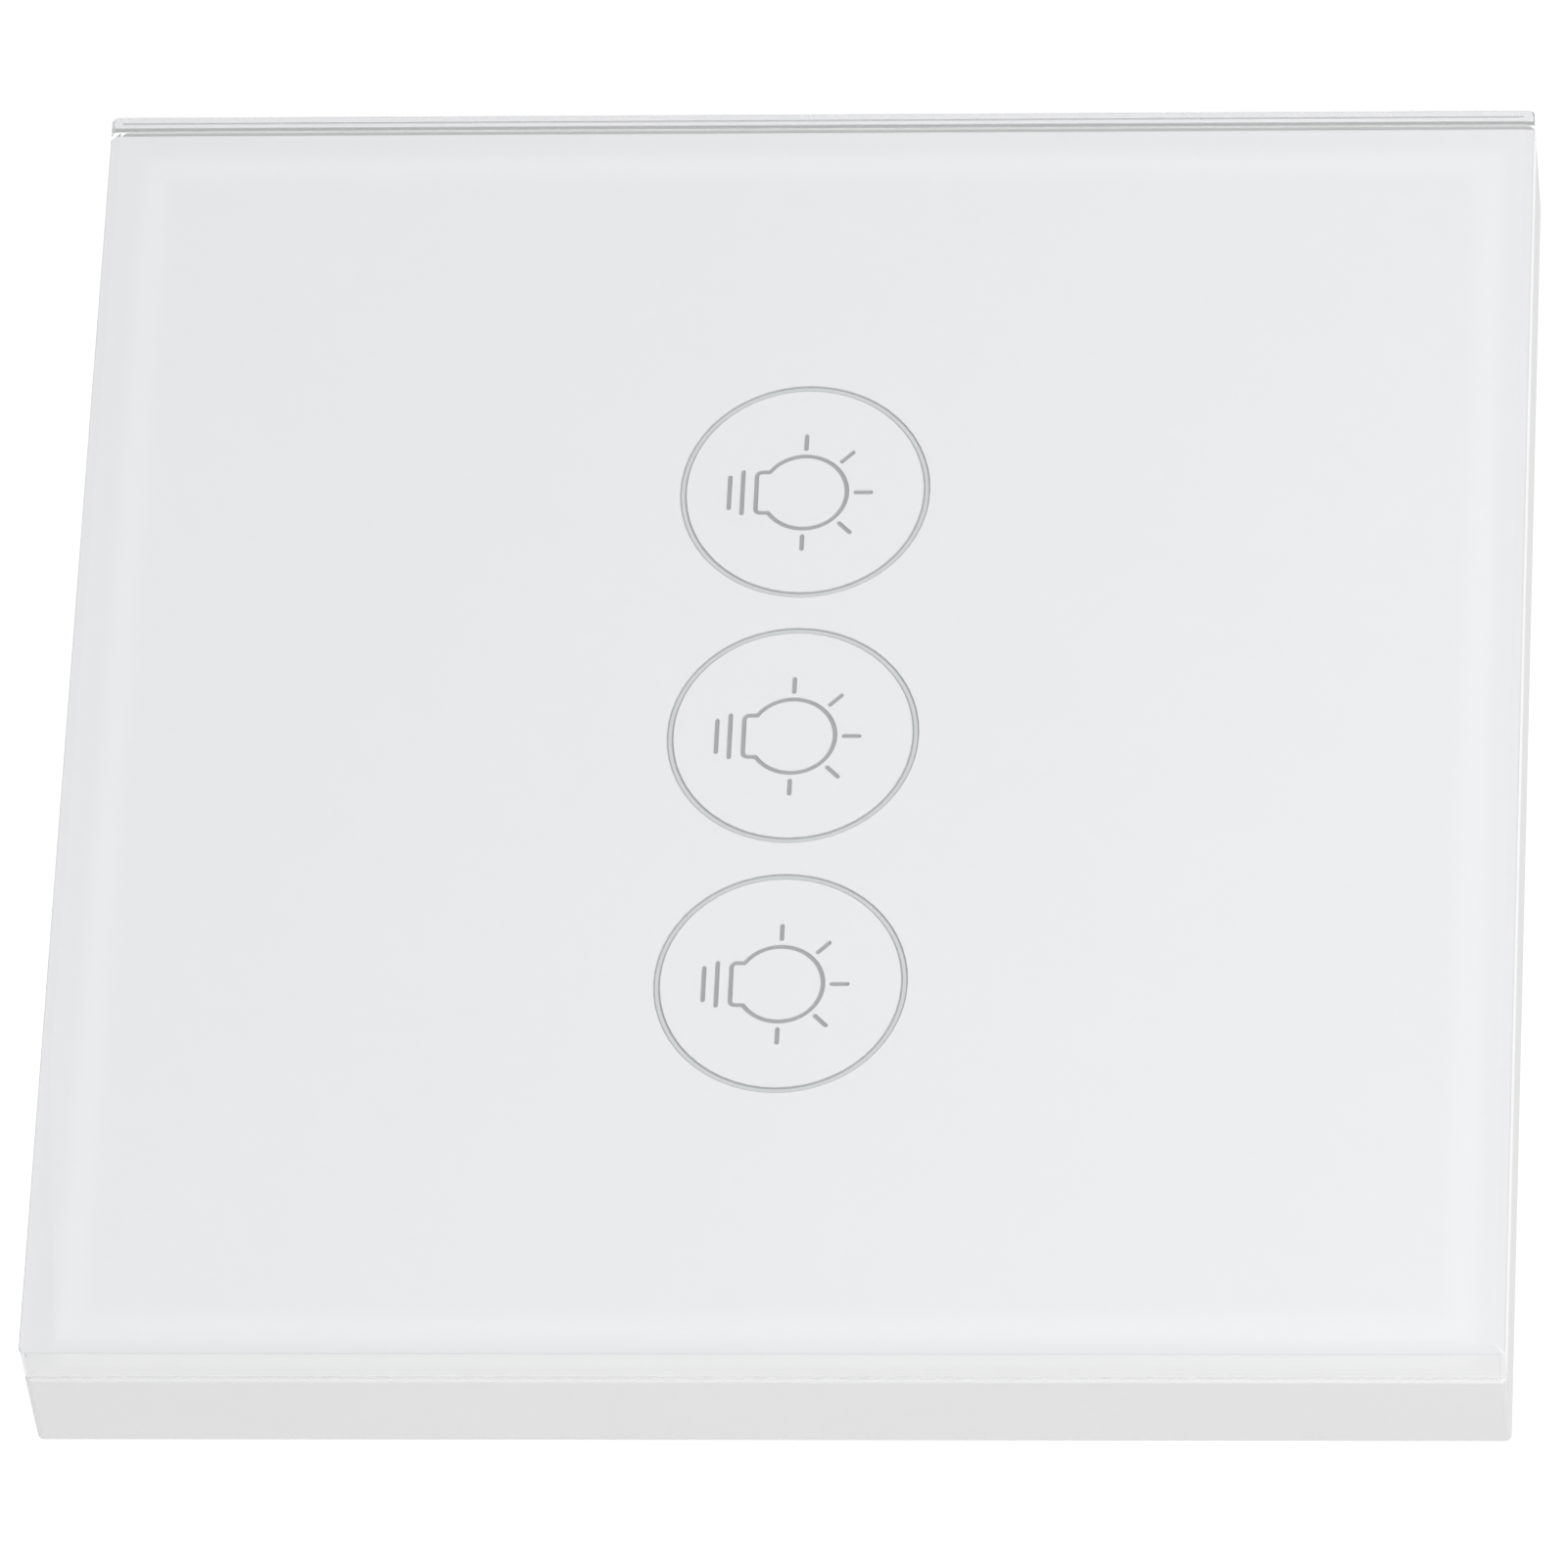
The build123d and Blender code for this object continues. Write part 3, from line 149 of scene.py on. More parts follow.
class SwitchBaseLooks(PropertyGroup):
    base_colour: colour_property("Base", "White of the base and rear housing", (0.74, 0.74, 0.725))
    terminal_colour: colour_property("Terminals", "Green of the terminals", (0.045, 0.26, 0.11))
    zinc_colour: colour_property("Zinc", "Zinc-plated steel", (0.60, 0.61, 0.63))
    brass_colour: colour_property("Brass", "Plain brass", (0.72, 0.53, 0.24))
    copper_colour: colour_property("Copper", "Copper pads and leaves", (0.80, 0.38, 0.22))
    mask_colour: colour_property("Touch board", "Its solder mask", (0.012, 0.13, 0.045))
    laminate_colour: colour_property("Power board", "Its laminate", (0.42, 0.27, 0.10))
    grain_size: length_property("Grain", "Size of the fine skin of moulded parts", 0.18 * MM)


class SwitchStudio(PropertyGroup):
    ambient: factor_property("Ambient", "Strength of the even light of the room", 0.57, 4.0)
    key_power: number_property("Key lamp", "Power of the key lamp", 0.73)
    fill_power: number_property("Fill lamps", "Power of the fill lamp and the back lamp", 0.75)
    side_power: number_property("Side lamp", "Power of the side lamp", 0.53)
    lens: number_property("Lens", "Focal length in millimetres", 389.18)
    floor_drop: length_property("Floor drop", "Depth of the floor under the switch", 200 * MM)


def fill_sockets(tree, node, inputs):
    """Gives inputs of a node their values. A value may be another node's output."""
    for key, value in dict(inputs).items():
        if isinstance(value, bpy.types.NodeSocket):
            tree.links.new(value, node.inputs[key])
        else:
            node.inputs[key].default_value = value


def shade(tree, kind, inputs=(), **settings):
    """Adds one shader node, with its inputs filled."""
    node = tree.nodes.new("ShaderNode" + kind)
    for name, value in settings.items():
        setattr(node, name, value)
    fill_sockets(tree, node, inputs)
    return node


def reckon(tree, operation, *values):
    """The result of one step of arithmetic."""
    return shade(tree, "Math", enumerate(values), operation=operation).outputs[0]


def between(tree, value, low, high):
    """One where the value lies between two bounds, and nought elsewhere."""
    over = reckon(tree, "GREATER_THAN", value, low)
    return reckon(tree, "MULTIPLY", over, reckon(tree, "LESS_THAN", value, high))


def mix_colours(tree, mask, first, second):
    """The first colour where the mask is nought, the second where it is one."""
    return shade(tree, "Mix", {0: mask, 6: first, 7: second}, data_type="RGBA").outputs[2]


def object_place(tree):
    """The object's own coordinates as one vector."""
    return shade(tree, "TexCoord").outputs["Object"]


def object_axes(tree):
    """The object's own coordinates as separate axes."""
    return shade(tree, "SeparateXYZ", {0: object_place(tree)}).outputs


def distance(tree, across, up):
    """The distance of a point from the origin of two axes."""
    squares = [reckon(tree, "MULTIPLY", value, value) for value in (across, up)]
    return reckon(tree, "SQRT", reckon(tree, "ADD", *squares))


def off_line(tree, value, line):
    """How far a value lies from a line, on either side."""
    return reckon(tree, "ABSOLUTE", reckon(tree, "SUBTRACT", value, line))


def farthest_reach(tree, axes):
    """The larger of the distances from the middle of the face, across it and up it."""
    reach = [reckon(tree, "ABSOLUTE", axes[axis]) for axis in ("X", "Z")]
    return reckon(tree, "MAXIMUM", *reach)


def seen_ray(tree):
    """One for the rays that show a surface in the picture, in a gloss or through glass."""
    rays = shade(tree, "LightPath").outputs
    plain = reckon(tree, "MAXIMUM", rays["Is Camera Ray"], rays["Is Glossy Ray"])
    return reckon(tree, "MAXIMUM", plain, rays["Is Transmission Ray"])


def nearest_icon(tree, along, pitch):
    """Distance along the row from the middle of the nearest icon."""
    steps = reckon(tree, "ROUND", reckon(tree, "DIVIDE", along, pitch))
    return reckon(tree, "SUBTRACT", along, reckon(tree, "MULTIPLY", steps, pitch))


def rgba(colour):
    return (*colour, 1.0)


def put_out(tree, put, **values):
    """Links the named results of a node group to its outputs."""
    for title, value in values.items():
        tree.links.new(value, put[title])


def start_group(name, inputs, outputs):
    """A node group with named inputs and outputs, and the sockets inside it."""
    group = bpy.data.node_groups.new(name, "ShaderNodeTree")
    for title, kind, value in inputs:
        socket = group.interface.new_socket(
            title, in_out="INPUT", socket_type="NodeSocket" + kind
        )
        socket.default_value = value
    for title, kind in outputs:
        group.interface.new_socket(title, in_out="OUTPUT", socket_type="NodeSocket" + kind)
    source = group.nodes.new("NodeGroupInput").outputs
    sink = group.nodes.new("NodeGroupOutput").inputs
    return group, source, sink


def moulded_skin_group():
    """Fine skin of a moulded part: slight mottling, uneven gloss and a shallow grain."""
    tree, given, put = start_group(
        "Moulded skin",
        [
            ("Colour", "Color", (0.8, 0.8, 0.8, 1)),
            ("Grain", "Float", 0.0002),
            ("Mottle", "Float", 0.03),
            ("Depth", "Float", 0.2),
            ("Roughness", "Float", 0.4),
        ],
        [("Colour", "Color"), ("Roughness", "Float"), ("Normal", "Vector")],
    )
    whole = object_place(tree)
    scale = reckon(tree, "DIVIDE", 1.0, given["Grain"])
    grain = shade(tree, "TexNoise", {"Vector": whole, "Scale": scale, "Detail": 3.0}).outputs[0]
    cloud = shade(tree, "TexNoise", {"Vector": whole, "Scale": 90.0, "Detail": 4.0}).outputs[0]
    swing = reckon(tree, "MULTIPLY", reckon(tree, "SUBTRACT", cloud, 0.5), given["Mottle"])
    value = reckon(tree, "ADD", 1.0, swing)
    toned = shade(tree, "HueSaturation", {"Value": value, "Color": given["Colour"]})
    uneven = reckon(tree, "SUBTRACT", grain, 0.5)
    rough = reckon(tree, "MULTIPLY_ADD", uneven, 0.2, given["Roughness"])
    bump = shade(
        tree,
        "Bump",
        {
            "Strength": given["Depth"],
            "Distance": reckon(tree, "MULTIPLY", given["Grain"], 0.15),
            "Height": grain,
        },
    )
    put_out(tree, put, Colour=toned.outputs[0], Roughness=rough, Normal=bump.outputs[0])


def metal_grain_group():
    """Grain of a rolled or plated metal, drawn out along one axis, with cloudy plating."""
    tree, given, put = start_group(
        "Metal grain",
        [
            ("Colour", "Color", (0.6, 0.6, 0.6, 1)),
            ("Grain scale", "Vector", (200.0, 3000.0, 3000.0)),
            ("Depth", "Float", 0.15),
            ("Roughness", "Float", 0.35),
        ],
        [("Colour", "Color"), ("Roughness", "Float"), ("Normal", "Vector")],
    )
    whole = object_place(tree)
    drawn = shade(tree, "VectorMath", {0: whole, 1: given["Grain scale"]}, operation="MULTIPLY")
    lines = shade(
        tree, "TexNoise", {"Vector": drawn.outputs[0], "Scale": 1.0, "Detail": 4.0}
    ).outputs[0]
    cloud = shade(tree, "TexNoise", {"Vector": whole, "Scale": 260.0, "Detail": 5.0}).outputs[0]
    both = reckon(tree, "ADD", lines, cloud)
    value = reckon(tree, "MULTIPLY_ADD", both, 0.22, 0.78)
    toned = shade(tree, "HueSaturation", {"Value": value, "Color": given["Colour"]})
    uneven = reckon(tree, "SUBTRACT", both, 1.0)
    rough = reckon(tree, "MULTIPLY_ADD", uneven, 0.25, given["Roughness"])
    bump = shade(
        tree,
        "Bump",
        {"Strength": given["Depth"], "Distance": METAL_GRAIN_DEPTH, "Height": lines},
    )
    put_out(tree, put, Colour=toned.outputs[0], Roughness=rough, Normal=bump.outputs[0])


def board_tracks_group():
    """Tracks and small plated holes of a printed board, on the grid that boards are drawn on."""
    tree, given, put = start_group(
        "Board tracks",
        [("Cell", "Float", 1.27 * MM), ("Width", "Float", 0.13)],
        [("Tracks", "Float"), ("Holes", "Float"), ("Rims", "Float")],
    )
    axes = object_axes(tree)
    across = reckon(tree, "DIVIDE", axes["X"], given["Cell"])
    up = reckon(tree, "DIVIDE", axes["Z"], given["Cell"])
    column, row = reckon(tree, "FLOOR", across), reckon(tree, "FLOOR", up)
    u = reckon(tree, "SUBTRACT", reckon(tree, "SUBTRACT", across, column), 0.5)
    v = reckon(tree, "SUBTRACT", reckon(tree, "SUBTRACT", up, row), 0.5)
    place = shade(tree, "CombineXYZ", {0: column, 1: row})
    chance = shade(
        tree, "TexWhiteNoise", {"Vector": place.outputs[0]}, noise_dimensions="2D"
    ).outputs[0]
    block = shade(
        tree,
        "CombineXYZ",
        {
            axis: reckon(tree, "FLOOR", reckon(tree, "DIVIDE", cell, CELLS_IN_BLOCK))
            for axis, cell in enumerate((column, row))
        },
    )
    region = shade(
        tree, "TexWhiteNoise", {"Vector": block.outputs[0]}, noise_dimensions="2D"
    ).outputs[0]
    flipped = reckon(
        tree, "MULTIPLY", u, reckon(tree, "SIGN", reckon(tree, "SUBTRACT", chance, 0.5))
    )
    slope = reckon(tree, "ABSOLUTE", reckon(tree, "ADD", flipped, v))
    slanted = reckon(tree, "MULTIPLY", off_line(tree, slope, 0.5), math.sqrt(0.5))
    level = reckon(tree, "ABSOLUTE", u)
    upright = reckon(tree, "ABSOLUTE", v)
    straight = shade(
        tree, "Mix", {0: reckon(tree, "GREATER_THAN", region, 0.5), 2: level, 3: upright}
    ).outputs[0]
    is_slanted = reckon(tree, "GREATER_THAN", chance, 1.0 - SLANTED_SHARE)
    gap = shade(tree, "Mix", {0: is_slanted, 2: straight, 3: slanted}).outputs[0]
    tracks = reckon(tree, "LESS_THAN", gap, given["Width"])
    radius = distance(tree, u, v)
    holed = reckon(tree, "LESS_THAN", chance, HOLED_SHARE)
    rims = reckon(tree, "MULTIPLY", between(tree, radius, HOLE_RADIUS, HOLE_RIM_RADIUS), holed)
    holes = reckon(tree, "MULTIPLY", reckon(tree, "LESS_THAN", radius, HOLE_RADIUS), holed)
    put_out(tree, put, Tracks=tracks, Holes=holes, Rims=rims)


def moulding_marks_group():
    """Round ejector marks on a lattice, as a height for a shallow bump."""
    tree, given, put = start_group(
        "Moulding marks",
        [
            ("Pitch", "Float", 17.0 * MM),
            ("Radius", "Float", 1.6 * MM),
            ("Line", "Float", 0.09 * MM),
        ],
        [("Height", "Float")],
    )
    axes = object_axes(tree)
    shifted = []
    for axis in ("X", "Z"):
        half = reckon(tree, "MULTIPLY", given["Pitch"], 0.5)
        moved = reckon(tree, "ADD", axes[axis], half)
        turns = reckon(tree, "FLOOR", reckon(tree, "DIVIDE", moved, given["Pitch"]))
        inside = reckon(tree, "SUBTRACT", moved, reckon(tree, "MULTIPLY", turns, given["Pitch"]))
        shifted.append(reckon(tree, "SUBTRACT", inside, half))
    off = off_line(tree, distance(tree, *shifted), given["Radius"])
    line = reckon(tree, "LESS_THAN", off, given["Line"])
    put_out(tree, put, Height=reckon(tree, "SUBTRACT", 1.0, line))


def fill_group(tree, name, **inputs):
    """A shared node group in one material, with its own values. Underscores stand for blanks."""
    node = tree.nodes.new("ShaderNodeGroup")
    node.node_tree = bpy.data.node_groups[name]
    fill_sockets(tree, node, {key.replace("_", " "): value for key, value in inputs.items()})
    return node.outputs


def start_material(slot):
    """The material of one slot, emptied, with a Principled shader and its output."""
    material = bpy.data.materials.get(slot) or bpy.data.materials.new(slot)
    material.use_nodes = True
    material.node_tree.nodes.clear()
    tree = material.node_tree
    output = shade(tree, "OutputMaterial")
    surface = shade(tree, "BsdfPrincipled")
    tree.links.new(surface.outputs[0], output.inputs["Surface"])
    return material, tree, surface, output


def wear(tree, surface, skin, **more):
    """Gives a surface the colour, gloss and relief of a skin, and whatever else it needs."""
    values = {
        "Base Color": skin["Colour"],
        "Roughness": skin["Roughness"],
        "Normal": skin["Normal"],
        **more,
    }
    fill_sockets(tree, surface, values)


def relief(tree, strength, depth, height, normal):
    """A bump on top of another one."""
    inputs = {"Strength": strength, "Distance": depth, "Height": height, "Normal": normal}
    return shade(tree, "Bump", inputs).outputs[0]


def moulded_material(slot, colour, roughness, grain, mottle, depth=0.2):
    """Plastic with the shared skin of a moulded part."""
    material, tree, surface, _ = start_material(slot)
    skin = fill_group(
        tree,
        "Moulded skin",
        Colour=rgba(colour),
        Grain=grain,
        Mottle=mottle,
        Depth=depth,
        Roughness=roughness,
    )
    wear(tree, surface, skin)
    return material


def metal_material(slot, colour, roughness):
    """Metal with the shared grain."""
    material, tree, surface, _ = start_material(slot)
    skin = fill_group(tree, "Metal grain", Colour=rgba(colour), Roughness=roughness)
    wear(tree, surface, skin, Metallic=1.0)
    return material


def board_material(slot, mask_colour, track_colour, core_colour, rim_colour, cell):
    """Printed board: tracks under the mask on both faces, plated holes painted near black as the
    shade inside them, and a bare edge.
    """
    material, tree, surface, _ = start_material(slot)
    tracks = fill_group(tree, "Board tracks", Cell=cell)
    normal = shade(tree, "TexCoord").outputs["Normal"]
    facing = reckon(tree, "ABSOLUTE", shade(tree, "SeparateXYZ", {0: normal}).outputs["Y"])
    on_face = reckon(tree, "GREATER_THAN", facing, 0.5)
    colour = mix_colours(tree, tracks["Tracks"], rgba(mask_colour), rgba(track_colour))
    colour = mix_colours(tree, tracks["Rims"], colour, rgba(rim_colour))
    # Painted shade: each hole is painted near black for the shade inside it.
    colour = mix_colours(tree, tracks["Holes"], colour, (0.01, 0.01, 0.01, 1))
    colour = mix_colours(tree, on_face, rgba(core_colour), colour)
    skin = fill_group(
        tree,
        "Moulded skin",
        Colour=colour,
        Grain=0.3 * MM,
        Mottle=0.08,
        Depth=0.08,
        Roughness=0.3,
    )
    height = reckon(tree, "MULTIPLY", tracks["Tracks"], on_face)
    raised = relief(tree, 0.5, TRACK_HEIGHT, height, skin["Normal"])
    metal = reckon(tree, "MULTIPLY", tracks["Rims"], on_face)
    wear(tree, surface, skin, Metallic=metal, Normal=raised)
    return material


def glass_material(slot, looks):
    """Clear glass whose ground rim and sides carry a painted grey shade, and which lets light fall
    straight through to the print.
    """
    material, tree, surface, output = start_material(slot)
    axes = object_axes(tree)
    reach = farthest_reach(tree, axes)
    at_edge = reckon(tree, "GREATER_THAN", reach, looks.half_width - looks.rim_width)
    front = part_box("glass_panel")[0].y
    at_front = reckon(tree, "LESS_THAN", axes["Y"], front + RIM_DEPTH)
    rim = reckon(tree, "MULTIPLY", at_edge, at_front)
    # Painted shade: the sides and the rim are tinted grey for the scatter of the ground glass.
    at_side = reckon(tree, "GREATER_THAN", reach, looks.half_width - SIDE_SKIN)
    shaded_sides = mix_colours(tree, at_side, rgba(looks.glass_tint), rgba(looks.side_painted_shade))
    values = {
        "Base Color": mix_colours(tree, rim, shaded_sides, rgba(looks.rim_painted_shade)),
        "Roughness": 0.0,
        "IOR": looks.glass_bend,
        "Transmission Weight": 1.0,
    }
    fill_sockets(tree, surface, values)
    rays = shade(tree, "LightPath").outputs
    passing = reckon(tree, "MAXIMUM", rays["Is Shadow Ray"], rays["Is Diffuse Ray"])
    clear = shade(tree, "BsdfTransparent")
    mixed = shade(tree, "MixShader", {0: passing, 1: surface.outputs[0], 2: clear.outputs[0]})
    tree.links.new(mixed.outputs[0], output.inputs["Surface"])
    body = shade(
        tree,
        "VolumeAbsorption",
        {"Color": rgba(looks.depth_tint), "Density": looks.depth_density},
    )
    tree.links.new(body.outputs[0], output.inputs["Volume"])
    return material


def film_material(slot, looks):
    """Translucent film with painted shade: icons and ring edges are painted dark for the shade in
    their narrow windows, and the middle of a ring reads light.
    """
    material, tree, surface, _ = start_material(slot)
    axes = object_axes(tree)
    x = nearest_icon(tree, axes["X"], looks.icon_pitch)
    off = off_line(tree, distance(tree, x, axes["Z"]), looks.ring_radius)
    band = reckon(tree, "LESS_THAN", off, looks.ring_band / 2)
    skin = fill_group(
        tree,
        "Moulded skin",
        # Painted shade outside the light middle of each ring.
        Colour=mix_colours(tree, band, rgba(looks.painted_line_shade), rgba(looks.film_colour)),
        Grain=0.1 * MM,
        Mottle=0.04,
        Depth=0.1,
        Roughness=0.5,
    )
    wear(tree, surface, skin)
    return material


def smooth_step(tree, value, low, high):
    """Nought below one bound, one above the other, and a soft rise between them."""
    inputs = {0: value, 1: low, 2: high}
    return shade(tree, "MapRange", inputs, interpolation_type="SMOOTHERSTEP").outputs[0]


def print_material(slot, looks):
    """White ink, with painted light and shade round it: a faint painted band of the light that the
    edges of the glass bend onto it, and a painted shade just inside the edge.
    """
    material, tree, surface, _ = start_material(slot)
    reach = farthest_reach(tree, object_axes(tree))
    inset = reckon(tree, "SUBTRACT", looks.half_width, reach)
    band = smooth_step(tree, inset, looks.edge_band * BAND_START, looks.edge_band)
    past = smooth_step(tree, inset, looks.edge_band, looks.edge_band * BAND_END)
    # Painted light: a faint band of the light that the glass edges bend onto the print. Painted
    # shade: darker at the very edge.
    glow = reckon(tree, "MULTIPLY", band, reckon(tree, "SUBTRACT", 1.0, past))
    edge_shade_mask = reckon(tree, "SUBTRACT", 1.0, band)
    value = reckon(tree, "MULTIPLY_ADD", glow, PAINTED_BAND_LIGHT, 1.0)
    value = reckon(tree, "MULTIPLY_ADD", edge_shade_mask, -PAINTED_EDGE_SHADE, value)
    toned = shade(tree, "HueSaturation", {"Value": value, "Color": rgba(looks.print_colour)})
    skin = fill_group(
        tree,
        "Moulded skin",
        Colour=toned.outputs[0],
        Grain=0.1 * MM,
        Mottle=0.01,
        Depth=0.03,
        Roughness=0.35,
    )
    wear(tree, surface, skin)
    return material


def housing_material(slot, colour, grain):
    """White plastic of the base, with round marks left by the mould."""
    material, tree, surface, _ = start_material(slot)
    skin = fill_group(
        tree,
        "Moulded skin",
        Colour=rgba(colour),
        Grain=grain,
        Mottle=0.04,
        Depth=0.25,
        Roughness=0.45,
    )
    marks = fill_group(tree, "Moulding marks")
    pressed = relief(tree, 0.6, MARK_DEPTH, marks["Height"], skin["Normal"])
    wear(tree, surface, skin, Normal=pressed)
    return material


def capped_material(slot, node, colour, cap_colour, axis, share, stripe=None):
    """A glossy small part whose ends are bare metal, with an optional stripe along one side."""
    material, tree, surface, _ = start_material(slot)
    low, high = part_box(node)
    axes = object_axes(tree)
    place = "XYZ".index(axis)
    middle, half = (low[place] + high[place]) / 2, (high[place] - low[place]) / 2
    off = reckon(tree, "SUBTRACT", axes[axis], middle)
    if stripe:
        at_end = reckon(tree, "GREATER_THAN", off, half * share)
        start = high.x - (high.x - low.x) * STRIPE_SHARE
        side = reckon(tree, "GREATER_THAN", axes["X"], start)
        body = mix_colours(tree, side, rgba(colour), rgba(stripe))
    else:
        at_end = reckon(tree, "GREATER_THAN", reckon(tree, "ABSOLUTE", off), half * share)
        body = rgba(colour)
    skin = fill_group(
        tree,
        "Moulded skin",
        Colour=mix_colours(tree, at_end, body, rgba(cap_colour)),
        Grain=0.15 * MM,
        Mottle=0.06,
        Depth=0.12,
        Roughness=0.3,
    )
    wear(tree, surface, skin, Metallic=at_end)
    return material


def winding_material(slot, colour, pitch):
    """Enamelled wire, wound in close turns that lie across the Y axis, with painted shade in the
    grooves between the turns.
    """
    material, tree, surface, _ = start_material(slot)
    along = reckon(tree, "MULTIPLY", object_axes(tree)["Y"], math.tau / pitch)
    height = reckon(tree, "MULTIPLY_ADD", reckon(tree, "SINE", along), 0.5, 0.5)
    groove_shade_colour = tuple(channel * GROOVE_SHADE for channel in colour)
    skin = fill_group(
        tree,
        "Metal grain",
        Colour=mix_colours(tree, height, rgba(groove_shade_colour), rgba(colour)),
        Grain_scale=(3000.0, 300.0, 3000.0),
        Depth=0.1,
        Roughness=0.3,
    )
    wound = relief(tree, 0.8, pitch * 0.4, height, skin["Normal"])
    wear(tree, surface, skin, Metallic=0.9, Normal=wound)
    return material


def dress(slot, material):
    """Gives the material to every CAD node whose record names this slot."""
    for part in frame["record"]["subparts"]:
        if part["material_slot"] == slot:
            piece = frame["nodes"][part["node"]]
            if not piece.material_slots:
                piece.data.materials.append(material)
            for holder in piece.material_slots:
                holder.material = material


class SWITCH_OT_glass_front(Operator):
    """Finish the glass, its print and the icon film"""

    bl_idname = "switch.glass_front"
    bl_label = "Glass front"

    def execute(self, context):
        looks = context.scene.switch_panel
        dress("clear_glass", glass_material("clear_glass", looks))
        dress("grey_film", film_material("grey_film", looks))
        dress("white_print", print_material("white_print", looks))
        dress(
            "adhesive_grey",
            moulded_material("adhesive_grey", (0.47, 0.47, 0.47), 0.6, 0.3 * MM, 0.05),
        )
        return {"FINISHED"}


class SWITCH_OT_white_mouldings(Operator):
    """Finish the front frame, the base frame and the rear housing"""

    bl_idname = "switch.white_mouldings"
    bl_label = "White mouldings"

    def execute(self, context):
        panel, base = context.scene.switch_panel, context.scene.switch_base
        dress(
            "white_frame",
            moulded_material("white_frame", panel.frame_colour, 0.38, base.grain_size, 0.03, 0.2),
        )
        dress("white_base", housing_material("white_base", base.base_colour, base.grain_size))
        return {"FINISHED"}


class SWITCH_OT_small_mouldings(Operator):
    """Finish the terminals, relays and the other small plastic parts"""

    bl_idname = "switch.small_mouldings"
    bl_label = "Small mouldings"

    def execute(self, context):
        base = context.scene.switch_base
        for slot, colour, roughness in (
            ("terminal_green", base.terminal_colour, 0.4),
            ("baffle_black", (0.012, 0.012, 0.012), 0.6),
            ("black_plastic", (0.014, 0.014, 0.015), 0.42),
            ("chip_black", (0.010, 0.010, 0.011), 0.55),
            ("led_white", (0.80, 0.74, 0.46), 0.25),
            ("ceramic_grey", (0.030, 0.028, 0.026), 0.35),
            ("relay_blue", (0.010, 0.045, 0.20), 0.3),
            ("bobbin_white", (0.66, 0.63, 0.53), 0.45),
            ("varistor_blue", (0.012, 0.070, 0.34), 0.25),
            ("choke_green", (0.025, 0.060, 0.030), 0.5),
            ("yellow_tape", (0.68, 0.37, 0.015), 0.25),
            ("ferrite", (0.020, 0.020, 0.021), 0.5),
        ):
            dress(slot, moulded_material(slot, colour, roughness, 0.15 * MM, 0.08, 0.2))
        sleeve = capped_material(
            "can_sleeve",
            "input_capacitor",
            colour=(0.010, 0.012, 0.030),
            cap_colour=(0.62, 0.62, 0.63),
            axis="Y",
            share=0.93,
            stripe=(0.30, 0.32, 0.36),
        )
        dress("can_sleeve", sleeve)
        fuse = capped_material(
            "fuse_ceramic",
            "line_fuse",
            colour=(0.66, 0.62, 0.52),
            cap_colour=(0.60, 0.58, 0.52),
            axis="Z",
            share=0.62,
        )
        dress("fuse_ceramic", fuse)
        return {"FINISHED"}


class SWITCH_OT_metal_parts(Operator):
    """Finish the yoke, screws, cages, contacts, pins and wire"""

    bl_idname = "switch.metal_parts"
    bl_label = "Metal parts"

    def execute(self, context):
        base = context.scene.switch_base
        for slot, colour, roughness in (
            ("zinc_steel", base.zinc_colour, 0.34),
            ("spring_steel", (0.50, 0.51, 0.53), 0.24),
            ("soft_iron", (0.48, 0.48, 0.47), 0.38),
            ("tinned_metal", (0.66, 0.66, 0.65), 0.30),
            ("nickel_brass", (0.62, 0.58, 0.47), 0.28),
            ("brass", base.brass_colour, 0.30),
            ("gold_pin", (0.83, 0.58, 0.22), 0.22),
            ("copper", base.copper_colour, 0.30),
        ):
            dress(slot, metal_material(slot, colour, roughness))
        dress("copper_wire", winding_material("copper_wire", (0.55, 0.18, 0.07), 0.16 * MM))
        return {"FINISHED"}


class SWITCH_OT_boards(Operator):
    """Finish the touch board, the radio board and the power board"""

    bl_idname = "switch.boards"
    bl_label = "Circuit boards"

    def execute(self, context):
        base = context.scene.switch_base
        tin, gold = (0.62, 0.62, 0.60), (0.80, 0.58, 0.24)
        green, blue, brown = base.mask_colour, (0.008, 0.03, 0.14), base.laminate_colour
        for slot, mask, track, core, rim, cell in (
            ("green_board", green, (0.03, 0.24, 0.08), (0.42, 0.36, 0.16), tin, 1.27),
            ("blue_board", blue, (0.02, 0.08, 0.30), (0.40, 0.35, 0.18), gold, 0.8),
            ("brown_board", brown, (0.34, 0.20, 0.07), (0.36, 0.24, 0.10), tin, 2.54),
        ):
            dress(slot, board_material(slot, mask, track, core, rim, cell * MM))
        return {"FINISHED"}


def new_piece(name, mesh, body, slot):
    """A new object from a finished mesh, riding on a body and taking one slot's finish."""
    piece = bpy.data.objects.new(name, bpy.data.meshes.new(name))
    mesh.to_mesh(piece.data)
    mesh.free()
    bpy.context.collection.objects.link(piece)
    piece.data.materials.append(bpy.data.materials[slot])
    for face in piece.data.polygons:
        face.use_smooth = False
    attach(piece, body)
    return piece


def soft_block(mesh, low, high):
    """Adds a block between two corners to a mesh, with its edges taken off."""
    size = Vector(high) - Vector(low)
    middle = (Vector(high) + Vector(low)) / 2
    made = bmesh.ops.create_cube(
        mesh, size=1.0, matrix=Matrix.Translation(middle) @ Matrix.Diagonal((*size, 1.0))
    )
    edges = list({edge for vert in made["verts"] for edge in vert.link_edges})
    bmesh.ops.bevel(
        mesh,
        geom=edges,
        offset=SOLDER_BEVEL,
        offset_type="OFFSET",
        affect="EDGES",
        segments=2,
        profile=0.5,
        material=-1,
    )


